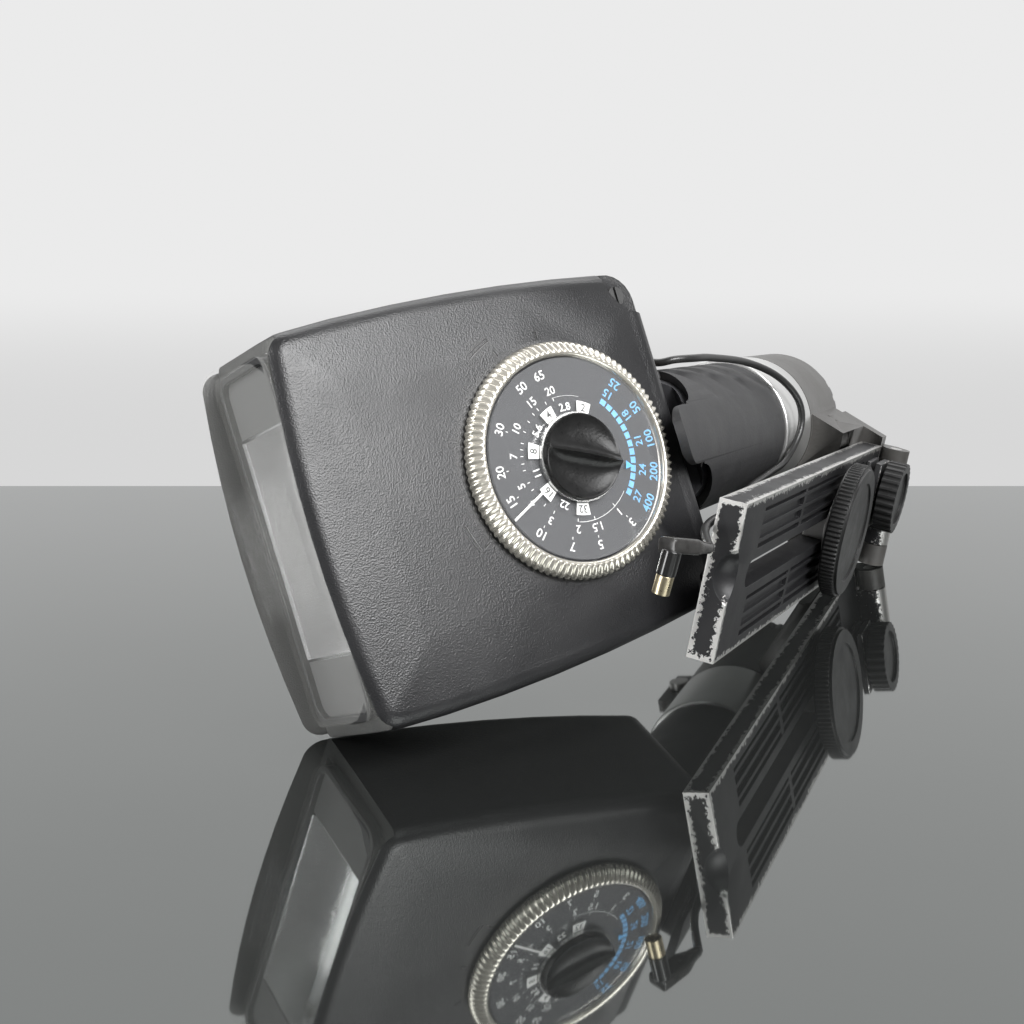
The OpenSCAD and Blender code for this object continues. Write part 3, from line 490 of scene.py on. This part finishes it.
white_boxes = surface_marks_piece("stop_boxes", [strips_round(boxes, ON_COVER),
    numbers_round(STOPS[1::2], 14.1, 2.15, ON_COVER), (pointer_line, [[0, 1, 2, 3]])],
    DIAL, "speed_dial")
dark_stops = surface_marks_piece("stop_numbers", [numbers_round(STOPS[::2], 14.05, 2.15, OVER_COVER_INK)],
    DIAL, "speed_dial")
arrow_corners = np.array([[ARROW_TIP, 0, 0], [ARROW_BACK, ARROW_HALF, 0], [ARROW_BACK, -ARROW_HALF, 0]])
arrow = arrow_corners @ turn("Z", ARROW_ANGLE).T + Z_AXIS * ON_COVER
blue_arrow = surface_marks_piece("speed_arrow", [(arrow, [[0, 1, 2]])], DIAL, "speed_dial")
print("stops:", len(STOPS))

# %% [markdown]
# ## Marks cut into the head
# Round the dial the shell has six short cuts and, a little further out, two longer double ones.
# They are thin strips just above the shell: painted shade as a glossy dark line for the cut's
# hollow, and a fine painted highlight for its edge, as a shallow cut looks.

# %% Cut marks round the dial
SHELL_FACE, CUT_LIFT = -0.3, 0.02
CUT_HEIGHT = SHELL_FACE + CUT_LIFT
TICKS = [177 + 23.7 * k for k in range(6)]
TICK_FROM, TICK_TO, TICK_WIDE = 34.3, 36.6, 0.45
LIT_WIDE, LIT_ASIDE, LIT_BELOW = 0.12, 0.5, 0.15
LONG_CUTS = [(200.5, 212.2, 38.9), (284, 295.3, 37.7)]
CUT_PAIR = [(0, 0.3), (0.9, 1.1)]
long_cuts = [(start, end, radius + inner, radius + outer) for start, end, radius in LONG_CUTS
    for inner, outer in CUT_PAIR]
long_cut_highlights = [(start, end, radius - LIT_BELOW, radius) for start, end, radius in LONG_CUTS]
tick_highlights = dashes([angle + LIT_ASIDE for angle in TICKS], TICK_FROM, TICK_TO, LIT_WIDE)
# Painted shade: dark strips where each cut's hollow would lie in shade.
cut_shade_strips = surface_marks_piece("cut_shade_strips", [
    strips_round(dashes(TICKS, TICK_FROM, TICK_TO, TICK_WIDE), CUT_HEIGHT, 1),
    strips_round(long_cuts, CUT_HEIGHT, 12)], DIAL, "head")
# Painted highlight: a bright strip along one edge of each cut.
cut_highlight_strips = surface_marks_piece("cut_painted_highlights", [strips_round(tick_highlights, CUT_HEIGHT, 1),
    strips_round(long_cut_highlights, CUT_HEIGHT, 12)], DIAL, "head")
print("cut marks:", len(TICKS) + len(LONG_CUTS))

# %% [markdown]
# ## Effects that several finishes share
# An effect is a node group: a small network with named inputs and outputs that is built once and
# used in each material with its own values. These give only masks and heights. The shader and its
# plain values stay in the material.

# %% Building node groups and materials
def new_group(name, inputs, outputs):
    """A shader node group with the given sockets, each a (name, type, value)."""
    group = bpy.data.node_groups.new(name, "ShaderNodeTree")
    for socket, kind, value in inputs:
        made = group.interface.new_socket(name=socket, in_out="INPUT", socket_type=kind)
        if value is not None:
            made.default_value = value
    for socket, kind in outputs:
        group.interface.new_socket(name=socket, in_out="OUTPUT", socket_type=kind)
    return group, group.nodes.new("NodeGroupInput"), group.nodes.new("NodeGroupOutput")


def node(tree, kind, values=None, links=None, **settings):
    """A node with its settings, the values of its inputs and the links into them."""
    made = tree.nodes.new(kind)
    for key, value in settings.items():
        setattr(made, key, value)
    for socket, value in (values or {}).items():
        made.inputs[socket].default_value = value
    for socket, source in (links or {}).items():
        tree.links.new(source, made.inputs[socket])
    return made


def maths(tree, operation, first, second=None, third=None, clamp=False):
    """A Math node; each term is a number or a socket."""
    made = tree.nodes.new("ShaderNodeMath")
    made.operation = operation
    made.use_clamp = clamp
    for k, term in enumerate((first, second, third)):
        if isinstance(term, (int, float)):
            made.inputs[k].default_value = term
        elif term is not None:
            tree.links.new(term, made.inputs[k])
    return made.outputs[0]


# %% Fine grain
FLOAT, VECTOR = "NodeSocketFloat", "NodeSocketVector"
grain_group, g_in, g_out = new_group("fine grain", [("Vector", VECTOR, None), ("Scale", FLOAT, 2500.0)],
    [("Height", FLOAT)])
cells = node(grain_group, "ShaderNodeTexVoronoi", {}, {"Vector": g_in.outputs["Vector"],
    "Scale": g_in.outputs["Scale"]}, feature="SMOOTH_F1")
cells.inputs["Smoothness"].default_value = 0.6
specks = node(grain_group, "ShaderNodeTexNoise", {"Detail": 3.0}, {"Vector": g_in.outputs["Vector"],
    "Scale": g_in.outputs["Scale"]})
both = maths(grain_group, "ADD", maths(grain_group, "MULTIPLY", cells.outputs["Distance"], 0.6),
    maths(grain_group, "MULTIPLY", specks.outputs["Fac"], 0.5))
grain_group.links.new(both, g_out.inputs["Height"])
print("group:", grain_group.name)

# %% Handling marks: broad and fine blotches in one mask
handling_group, h_in, h_out = new_group("handling marks",
    [("Vector", VECTOR, None), ("Scale", FLOAT, 40.0)], [("Tone", FLOAT), ("Scratches", FLOAT)])
broad = node(handling_group, "ShaderNodeTexNoise", {"Detail": 6.0, "Roughness": 0.62},
    {"Vector": h_in.outputs["Vector"], "Scale": h_in.outputs["Scale"]})
stretched = node(handling_group, "ShaderNodeMapping", {"Rotation": (0.4, 0.7, 0.9),
    "Scale": (1.0, 26.0, 26.0)}, {"Vector": h_in.outputs["Vector"]})
thin = node(handling_group, "ShaderNodeTexNoise", {"Detail": 2.0, "Distortion": 0.4},
    {"Vector": stretched.outputs["Vector"], "Scale": h_in.outputs["Scale"]})
lines = node(handling_group, "ShaderNodeMapRange", {"From Min": 0.70, "From Max": 0.76},
    {"Value": thin.outputs["Fac"]})
handling_group.links.new(broad.outputs["Fac"], h_out.inputs["Tone"])
handling_group.links.new(lines.outputs["Result"], h_out.inputs["Scratches"])
print("group:", handling_group.name)

# %% [markdown]
# ## Worn edges
# On a bar of painted metal the paint goes first along the edges. In the bar's own frame the
# distance to its faces is known, so the distance to the nearest edge is the middle one of the three
# distances to the faces: one is nought on the face itself, and the next is how far the edge is.

# %% Worn edges of a block
worn_group, w_in, w_out = new_group("worn edges", [("Vector", VECTOR, None), ("Middle", VECTOR, None),
    ("Half size", VECTOR, None), ("Width", FLOAT, 0.001), ("Ragged", FLOAT, 400.0)], [("Mask", FLOAT)])
from_middle = node(worn_group, "ShaderNodeVectorMath", {},
    {0: w_in.outputs["Vector"], 1: w_in.outputs["Middle"]}, operation="SUBTRACT")
size_of = node(worn_group, "ShaderNodeVectorMath", {}, {0: from_middle.outputs[0]},
    operation="ABSOLUTE")
inward = node(worn_group, "ShaderNodeVectorMath", {},
    {0: w_in.outputs["Half size"], 1: size_of.outputs[0]}, operation="SUBTRACT")
split = node(worn_group, "ShaderNodeSeparateXYZ", {}, {0: inward.outputs[0]})
dx, dy, dz = split.outputs
low_pair, high_pair = maths(worn_group, "MINIMUM", dx, dy), maths(worn_group, "MAXIMUM", dx, dy)
edge = maths(worn_group, "MAXIMUM", low_pair, maths(worn_group, "MINIMUM", high_pair, dz))
torn = node(worn_group, "ShaderNodeTexNoise", {"Detail": 5.0, "Roughness": 0.7},
    {"Vector": w_in.outputs["Vector"], "Scale": w_in.outputs["Ragged"]})
patchy = node(worn_group, "ShaderNodeTexNoise", {"Detail": 2.0, "Scale": 45.0},
    {"Vector": w_in.outputs["Vector"]})
reach = maths(worn_group, "MULTIPLY", w_in.outputs["Width"],
    maths(worn_group, "MULTIPLY", maths(worn_group, "SUBTRACT", torn.outputs["Fac"], 0.30),
        maths(worn_group, "MULTIPLY", patchy.outputs["Fac"], 9.0)))
bare = maths(worn_group, "MULTIPLY", maths(worn_group, "SUBTRACT", reach, edge), 12000.0, clamp=True)
worn_group.links.new(bare, w_out.inputs["Mask"])
print("group:", worn_group.name)

# %% [markdown]
# ## Materials
# Most finishes are a Principled shader with a colour that varies a little, a roughness that varies
# with it, and a fine bump. One builder makes them all, so the differences between the finishes
# stand in one table.

# %% One builder for plain finishes
def in_frame(tree, where):
    """Object coordinates carried into one of the object's frames, still in metres."""
    place = node(tree, "ShaderNodeMapping", {
        "Rotation": Matrix(where[0].T.tolist()).to_euler("XYZ"),
        "Location": tuple(-where[0].T @ where[1] * MM)},
        {"Vector": node(tree, "ShaderNodeTexCoord").outputs["Object"]})
    return place.outputs["Vector"]


def finish(name, colour, rough, metal=0.0, vary=0.25, blotch=40.0, grain=None, coat=0.0,
        alpha=1.0, ior=1.5, scratches=0.0, coat_rough=0.08, shine=0.5, coat_ior=1.5):
    """A material: colour and roughness follow the handling marks. The colour goes from
    (1 - vary) to (1 + vary) times its value and the roughness from 0.8 to 1.2 times its own, and
    grain is the bump's (scale, depth in millimetres)."""
    material = bpy.data.materials.new(name)
    material.use_nodes = True
    tree = material.node_tree
    shader = tree.nodes["Principled BSDF"]
    spot = node(tree, "ShaderNodeTexCoord").outputs["Object"]
    marks = node(tree, "ShaderNodeGroup", {}, {}, node_tree=handling_group)
    marks.inputs["Scale"].default_value = blotch
    tree.links.new(spot, marks.inputs["Vector"])
    mix = node(tree, "ShaderNodeMix", {}, {}, data_type="RGBA")
    mix.inputs["A"].default_value = (*[c * (1 - vary) for c in colour], 1)
    mix.inputs["B"].default_value = (*[min(1, c * (1 + vary)) for c in colour], 1)
    tree.links.new(marks.outputs["Tone"], mix.inputs["Factor"])
    tree.links.new(mix.outputs["Result"], shader.inputs["Base Color"])
    spread = node(tree, "ShaderNodeMapRange", {"From Min": 0.3, "From Max": 0.7,
        "To Min": max(0.02, rough * 0.8), "To Max": min(1.0, rough * 1.2)},
        {"Value": marks.outputs["Tone"]})
    scratched = maths(tree, "MULTIPLY", marks.outputs["Scratches"], scratches)
    rougher = maths(tree, "ADD", spread.outputs["Result"], scratched, clamp=True)
    tree.links.new(rougher, shader.inputs["Roughness"])
    shader.inputs["Metallic"].default_value = metal
    shader.inputs["Specular IOR Level"].default_value = shine
    shader.inputs["Coat Weight"].default_value = coat
    shader.inputs["Coat IOR"].default_value = coat_ior
    shader.inputs["Coat Roughness"].default_value = coat_rough
    shader.inputs["Alpha"].default_value = alpha
    shader.inputs["IOR"].default_value = ior
    if grain:
        bumps = node(tree, "ShaderNodeGroup", {}, {}, node_tree=grain_group)
        bumps.inputs["Scale"].default_value = grain[0]
        tree.links.new(spot, bumps.inputs["Vector"])
        bump = node(tree, "ShaderNodeBump", {"Distance": grain[1] * MM, "Strength": 1.0},
            {"Height": bumps.outputs["Height"]})
        tree.links.new(bump.outputs["Normal"], shader.inputs["Normal"])
    return material


def ribbed(material, where, spacing, depth):
    """Fine straight ribs across X of a frame as a bump, with their spacing and depth in
    millimetres. A wave texture of scale s repeats every 2 pi / (20 s)."""
    tree = material.node_tree
    wave = node(tree, "ShaderNodeTexWave", {"Scale": 2 * np.pi / (20 * spacing * MM)},
        {"Vector": in_frame(tree, where)})
    bump = node(tree, "ShaderNodeBump", {"Distance": depth * MM}, {"Height": wave.outputs["Fac"]})
    tree.links.new(bump.outputs["Normal"], tree.nodes["Principled BSDF"].inputs["Normal"])


SILVER = (0.74, 0.73, 0.71)
PAINT_ROUGH, SILVER_ROUGH, RAGGED = 0.42, 0.34, 700.0


def wear(name, colour, where, middle, half, width):
    """Paint over bare metal: the worn mask moves colour, roughness and metallic to the metal's.
    The block's middle and half size and the wear's width are in millimetres in a frame."""
    material = finish(name, colour, PAINT_ROUGH, grain=(1800, 0.03), vary=0.3, shine=0.3)
    tree = material.node_tree
    shader = tree.nodes["Principled BSDF"]
    paint = shader.inputs["Base Color"].links[0].from_socket
    paint_rough = shader.inputs["Roughness"].links[0].from_socket
    mask = node(tree, "ShaderNodeGroup", {}, {}, node_tree=worn_group)
    tree.links.new(in_frame(tree, where), mask.inputs["Vector"])
    mask.inputs["Middle"].default_value = [v * MM for v in middle]
    mask.inputs["Half size"].default_value = [v * MM for v in half]
    mask.inputs["Width"].default_value = width * MM
    mask.inputs["Ragged"].default_value = RAGGED
    mix = node(tree, "ShaderNodeMix", {}, {"Factor": mask.outputs["Mask"], "A": paint},
        data_type="RGBA")
    mix.inputs["B"].default_value = (*SILVER, 1)
    tree.links.new(mix.outputs["Result"], shader.inputs["Base Color"])
    rougher = node(tree, "ShaderNodeMapRange", {"To Max": SILVER_ROUGH},
        {"Value": mask.outputs["Mask"], "To Min": paint_rough})
    tree.links.new(rougher.outputs["Result"], shader.inputs["Roughness"])
    tree.links.new(mask.outputs["Mask"], shader.inputs["Metallic"])
    return material


# %% [markdown]
# ## The finishes
# The head is black plastic with a leather-like grain. The sleeve is soft and matt, the dial is
# glossy, the foot is pale satin metal. The rail was painted black and is worn to bare metal along
# its edges. The clear window and the reflector have fine ribs.

# %% Table of plain finishes
FINISHES = {
    "grained_black": finish("grained black plastic", (0.014, 0.014, 0.015), 0.35,
        grain=(2300, 0.10), vary=0.2),
    "clear_window": finish("clear ribbed window", (0.93, 0.93, 0.89), 0.05, vary=0.03, alpha=0.07,
        ior=1.49, coat=1.0),
    "frame_black": finish("window frame", (0.035, 0.035, 0.036), 0.4, grain=(1500, 0.03)),
    "bright_reflector": finish("polished reflector", (0.90, 0.90, 0.91), 0.24, metal=1.0, vary=0.12),
    "panel_grey": finish("grey side panels", (0.14, 0.14, 0.14), 0.5, grain=(1200, 0.02)),
    "tube_glass": finish("tube glass", (0.93, 0.95, 0.96), 0.05, vary=0.02, alpha=0.4, coat=1.0),
    "board": finish("varnished board", (0.28, 0.36, 0.16), 0.4, blotch=200.0),
    "capacitor_sleeve": finish("capacitor sleeve", (0.07, 0.08, 0.13), 0.3),
    "winding": finish("taped winding", (0.60, 0.45, 0.16), 0.45, grain=(900, 0.1), blotch=200.0),
    "plain_steel": finish("turned steel", (0.58, 0.57, 0.56), 0.3, metal=1.0, grain=(1600, 0.02),
        scratches=0.2),
    "lamp_orange": finish("orange lamp", (0.85, 0.30, 0.05), 0.15, coat=0.6),
    "button_black": finish("satin black button", (0.04, 0.04, 0.04), 0.35, grain=(1800, 0.02)),
    "disc_black": finish("gloss black disc", (0.010, 0.010, 0.012), 0.07, vary=0.3, coat=1.0,
        coat_rough=0.04, shine=1.0, coat_ior=1.9),
    "clear_ring": finish("clear knurled ring", (0.63, 0.60, 0.53), 0.2, metal=0.72, vary=0.16,
        blotch=160.0, coat=0.7),
    "cursor_clear": finish("clear cover", (0.75, 0.76, 0.78), 0.05, vary=0.05, alpha=0.07, coat=1.0,
        coat_rough=0.02),
    "knob_black": finish("satin black knob", (0.010, 0.010, 0.010), 0.3, grain=(1300, 0.05),
        vary=0.4, blotch=260.0, shine=0.25),
    "thin_ring": finish("thin bright ring", (0.62, 0.62, 0.61), 0.24, metal=1.0),
    "collar_black": finish("smooth black collar", (0.04, 0.04, 0.043), 0.34, grain=(1400, 0.015)),
    "sensor_red": finish("dark red window", (0.12, 0.02, 0.02), 0.08, coat=1.0),
    "soft_sleeve": finish("soft matt sleeve", (0.026, 0.026, 0.027), 0.55, grain=(1500, 0.06),
        vary=0.35, blotch=60.0, shine=0.35),
    "grip_metal": finish("drawn tube", (0.55, 0.55, 0.56), 0.32, metal=1.0),
    "pale_foot": finish("pale satin foot", (0.62, 0.62, 0.61), 0.34, metal=0.85, grain=(1500, 0.02),
        scratches=0.15),
    "cells": finish("printed cells", (0.66, 0.50, 0.18), 0.3, metal=0.7),
    "contacts": finish("brass contact", (0.72, 0.58, 0.28), 0.3, metal=1.0),
    "cap_black": finish("satin black cap", (0.045, 0.045, 0.048), 0.38, grain=(1500, 0.03)),
    "knurled_black": finish("black knurled knob", (0.016, 0.016, 0.016), 0.36, grain=(1300, 0.04),
        vary=0.35, blotch=120.0, shine=0.3),
    "cord_black": finish("black flex", (0.018, 0.018, 0.018), 0.33, grain=(700, 0.02), vary=0.3),
    "plug_grey": finish("worn dark moulding", (0.030, 0.029, 0.028), 0.24, grain=(900, 0.05),
        vary=0.8, blotch=320.0, scratches=0.3),
    "plug_black": finish("gloss black barrel", (0.012, 0.012, 0.012), 0.16, coat=0.5),
    "plug_metal": finish("plated brass", (0.60, 0.52, 0.36), 0.3, metal=1.0, blotch=300.0, vary=0.3),
}
print("plain finishes:", len(FINISHES))

# %% Worn paint, ink, painted shade and a painted highlight
RAIL_MIDDLE, RAIL_HALF = (39.4, -24, -69.7), (3.9, 22.5, 97.3)
LOCK_MIDDLE, LOCK_HALF = (46.1, -17, -150.8), (2.8, 12, 8)
FINISHES["worn_black"] = wear("worn black paint", (0.012, 0.012, 0.013), BRACKET, RAIL_MIDDLE,
    RAIL_HALF, 1.3)
FINISHES["clamp_grey"] = finish("satin clamp paint", (0.055, 0.053, 0.050), 0.38, grain=(900, 0.08),
    vary=0.35)
LOCK_PAINT = wear("worn block paint", (0.03, 0.03, 0.031), BRACKET, LOCK_MIDDLE, LOCK_HALF, 0.35)
WHITE_INK = finish("white ink", (0.80, 0.80, 0.78), 0.4, vary=0.08, blotch=900.0)
BLUE_INK = finish("blue ink", (0.12, 0.42, 0.78), 0.4, vary=0.12, blotch=900.0)
DARK_INK = finish("dark ink", (0.05, 0.05, 0.05), 0.4, vary=0.2, blotch=900.0)
# The shell screws are steel. Their dark colour is painted shade of the recesses they sit in.
SCREW_PAINTED_SHADE = finish("screw steel with painted shade", (0.05, 0.05, 0.05), 0.4, metal=0.6, vary=0.3)
# Painted shade for the cuts' hollows and a painted highlight for their edges.
PAINTED_CUT_SHADE = finish("painted shade in a cut", (0.006, 0.006, 0.006), 0.25, vary=0.2)
PAINTED_CUT_HIGHLIGHT = finish("painted highlight beside a cut", (0.10, 0.10, 0.10), 0.3, vary=0.2)
SINGLE_FINISHES = (LOCK_PAINT, WHITE_INK, BLUE_INK, DARK_INK, SCREW_PAINTED_SHADE, PAINTED_CUT_SHADE, PAINTED_CUT_HIGHLIGHT)
ribbed(FINISHES["clear_window"], HEAD, 1.3, 0.05)
ribbed(FINISHES["bright_reflector"], HEAD, 0.9, 0.03)
print("finishes:", len(FINISHES) + len(SINGLE_FINISHES))

# %% Every node and piece gets its finish
def paint(piece, material):
    """The material in the piece's only slot, in place of what was there."""
    piece.data.materials.clear()
    piece.data.materials.append(material)


for node_name, packed in frame["nodes"].items():
    paint(packed, FINISHES[SLOT_OF[node_name]])
for node_name, piece in looks.items():
    paint(piece, FINISHES[SLOT_OF[node_name]])
paint(looks["lock_block"], LOCK_PAINT)
# The screws take steel darkened as painted shade.
paint(looks["shell_screws"], SCREW_PAINTED_SHADE)
INK_AND_PAINTED_LIGHT = ((white_ink, WHITE_INK), (blue_ink, BLUE_INK), (white_boxes, WHITE_INK),
    (dark_stops, DARK_INK), (blue_arrow, BLUE_INK), (cut_shade_strips, PAINTED_CUT_SHADE), (cut_highlight_strips, PAINTED_CUT_HIGHLIGHT))
# The cut strips get painted shade and a painted highlight. The other pieces get ink.
for piece, ink in INK_AND_PAINTED_LIGHT:
    paint(piece, ink)
print("painted:", len(frame["nodes"]) + len(looks) + len(INK_AND_PAINTED_LIGHT))

# %% [markdown]
# ## The table and the backdrop
# The flash lies on grey glass that mirrors it. Behind the glass's far edge lies a pale, matt ground
# that grows lighter with distance. Both are one flat mesh each, and neither is part of the object.

# %% Table and ground
FORWARD = np.array([-np.sin(np.radians(AZIMUTH)), np.cos(np.radians(AZIMUTH)), 0])
ACROSS = np.array([np.cos(np.radians(AZIMUTH)), np.sin(np.radians(AZIMUTH)), 0])
GLASS_EDGE, GROUND_END = 0.738, 2.0
GROUND_NEAR, GROUND_FAR = 0.68, 0.83
GROUND_DROP = 0.002
eye_on_floor = np.array([*CAMERA_AT[:2], 0])


def flat_square(name, near, far, half, height):
    """A rectangle on the floor, from near to far ahead of the camera and half to either side."""
    corners = np.array([eye_on_floor + FORWARD * d + ACROSS * s + Z_AXIS * height
        for d, s in ((near, -half), (near, half), (far, half), (far, -half))])
    piece = mesh_piece(name, corners, [[0, 1, 2, 3]])
    return piece


glass = flat_square("glass_table", -1.2, GLASS_EDGE, 1.6, 0)
ground = flat_square("pale_ground", -6, 9, 8, -GROUND_DROP)

glass_look = finish("grey glass", (0.225, 0.235, 0.23), 0.03, metal=0.95, vary=0.04, blotch=8.0,
    scratches=0.02)
glass.data.materials.append(glass_look)
print("glass ends", GLASS_EDGE, "m from the camera")


# %% What the camera and the mirrors see of the backdrop
def backdrop_rays(tree):
    """Two masks: the camera's own rays, and those together with the rays that a mirror or a
    window sends on. The backdrop shows its tone to these and lights the object on all others."""
    path = node(tree, "ShaderNodeLightPath").outputs
    sent_on = maths(tree, "MAXIMUM", path["Is Glossy Ray"], path["Is Transmission Ray"])
    return path["Is Camera Ray"], maths(tree, "MAXIMUM", path["Is Camera Ray"], sent_on)


ground_look = bpy.data.materials.new("pale ground")
ground_look.use_nodes = True
tree = ground_look.node_tree
tree.nodes["Principled BSDF"].inputs["Base Color"].default_value = (0.75, 0.75, 0.75, 1)
tree.nodes["Principled BSDF"].inputs["Roughness"].default_value = 0.9
place = node(tree, "ShaderNodeVectorMath", {1: tuple(eye_on_floor)},
    {0: node(tree, "ShaderNodeTexCoord").outputs["Object"]}, operation="SUBTRACT")
ahead = node(tree, "ShaderNodeVectorMath", {1: tuple(FORWARD)}, {0: place.outputs[0]},
    operation="DOT_PRODUCT")
fade = node(tree, "ShaderNodeMapRange", {"From Min": GLASS_EDGE, "From Max": GROUND_END,
    "To Min": GROUND_NEAR, "To Max": GROUND_FAR}, {"Value": ahead.outputs["Value"]},
    interpolation_type="SMOOTHERSTEP")
glow = node(tree, "ShaderNodeEmission", {"Color": (1, 1, 1, 1)}, {"Strength": fade.outputs["Result"]})
blend = node(tree, "ShaderNodeMixShader", {}, {0: backdrop_rays(tree)[1],
    1: tree.nodes["Principled BSDF"].outputs["BSDF"], 2: glow.outputs["Emission"]})
tree.links.new(blend.outputs["Shader"], tree.nodes["Material Output"].inputs["Surface"])
ground.data.materials.append(ground_look)
print("ground lies", GROUND_DROP, "m below the glass")

# %% [markdown]
# ## Light
# The world is a pale studio: bright behind the flash, and a darker room behind the camera, which
# is what black gloss turned to the camera mirrors. A large soft light stands near the place that
# the dial mirrors to the camera: the line of sight mirrored in the dial's face, and from there a
# step aside and a step up, so that it greys the disc and gives the head its sheen. A second light
# from above and behind lifts the upper edges, a weak one fills the front, and a tall one in front
# of the lamp makes its reflector shine.

# %% World
ROOM_TONE, WALL_FULL = 0.25, 0.6
world = bpy.data.worlds.new("studio")
bpy.context.scene.world = world
world.use_nodes = True
tree = world.node_tree
sky = tree.nodes["Background"]
sky.inputs["Color"].default_value = (0.80, 0.81, 0.82, 1)
sky.inputs["Strength"].default_value = 0.5
facing = node(tree, "ShaderNodeVectorMath", {1: tuple(FORWARD)},
    {0: node(tree, "ShaderNodeTexCoord").outputs["Generated"]}, operation="DOT_PRODUCT")
wall = node(tree, "ShaderNodeMapRange", {"From Min": 0.0, "From Max": WALL_FULL,
    "To Min": ROOM_TONE, "To Max": 1.0}, {"Value": facing.outputs["Value"]},
    interpolation_type="SMOOTHSTEP")
camera_rays, shown_rays = backdrop_rays(tree)
shown_sky = node(tree, "ShaderNodeBackground", {"Color": (0.83, 0.83, 0.83, 1)},
    {"Strength": maths(tree, "MAXIMUM", wall.outputs["Result"], camera_rays)})
blend = node(tree, "ShaderNodeMixShader", {}, {0: shown_rays, 1: sky.outputs["Background"],
    2: shown_sky.outputs["Background"]})
tree.links.new(blend.outputs["Shader"], tree.nodes["World Output"].inputs["Surface"])
print("world:", world.name)

# %% Soft lights
def soft_light(name, at, towards, size, power):
    """A rectangular area light at a place, facing a point. Sizes in metres, power in watts."""
    light = bpy.data.lights.new(name, "AREA")
    light.shape = "RECTANGLE"
    light.size, light.size_y = size
    light.energy = power
    lamp = bpy.data.objects.new(name, light)
    lamp.location = Vector(at)
    lamp.rotation_euler = (Vector(towards) - Vector(at)).to_track_quat("-Z", "Y").to_euler()
    bpy.context.collection.objects.link(lamp)
    return lamp


DIAL_LIGHT_FAR, DIAL_LIGHT_ASIDE, DIAL_LIGHT_UP = 0.9, 0.34, 0.33
LAMP_LIGHT_FAR, LAMP_LIGHT_UP = 0.7, 0.35
dial_centre = carry([0, 0, 4], DIAL)
dial_normal = DIAL[0] @ Z_AXIS
sight = dial_centre - np.array(CAMERA_AT)
sight /= np.linalg.norm(sight)
mirrored = sight - 2 * (sight @ dial_normal) * dial_normal
print("mirrored line of sight:", mirrored.round(3))
side_step = np.cross(mirrored, Z_AXIS)
side_step /= np.linalg.norm(side_step)
up_step = np.cross(side_step, mirrored)
dial_light_at = (dial_centre + mirrored * DIAL_LIGHT_FAR + side_step * DIAL_LIGHT_ASIDE
    + up_step * DIAL_LIGHT_UP)
window_centre = carry([0, -105, 0], HEAD)
lamp_way = HEAD[0] @ np.array([0.0, -1.0, 0.0])
lamp_light_at = window_centre + lamp_way * LAMP_LIGHT_FAR + Z_AXIS * LAMP_LIGHT_UP
print("the lamp points:", lamp_way.round(3))
lights = [soft_light("mirrored softbox", dial_light_at, dial_centre, (0.6, 0.7), 19),
    soft_light("top softbox", (-0.2, 0.5, 1.0), (0, 0, 0.05), (1.2, 0.7), 6),
    soft_light("front fill", (0.9, -0.9, 0.7), (0, -0.05, 0.05), (0.8, 0.8), 3),
    soft_light("lamp side softbox", lamp_light_at, window_centre, (0.25, 0.7), 5)]
print("lights:", len(lights))
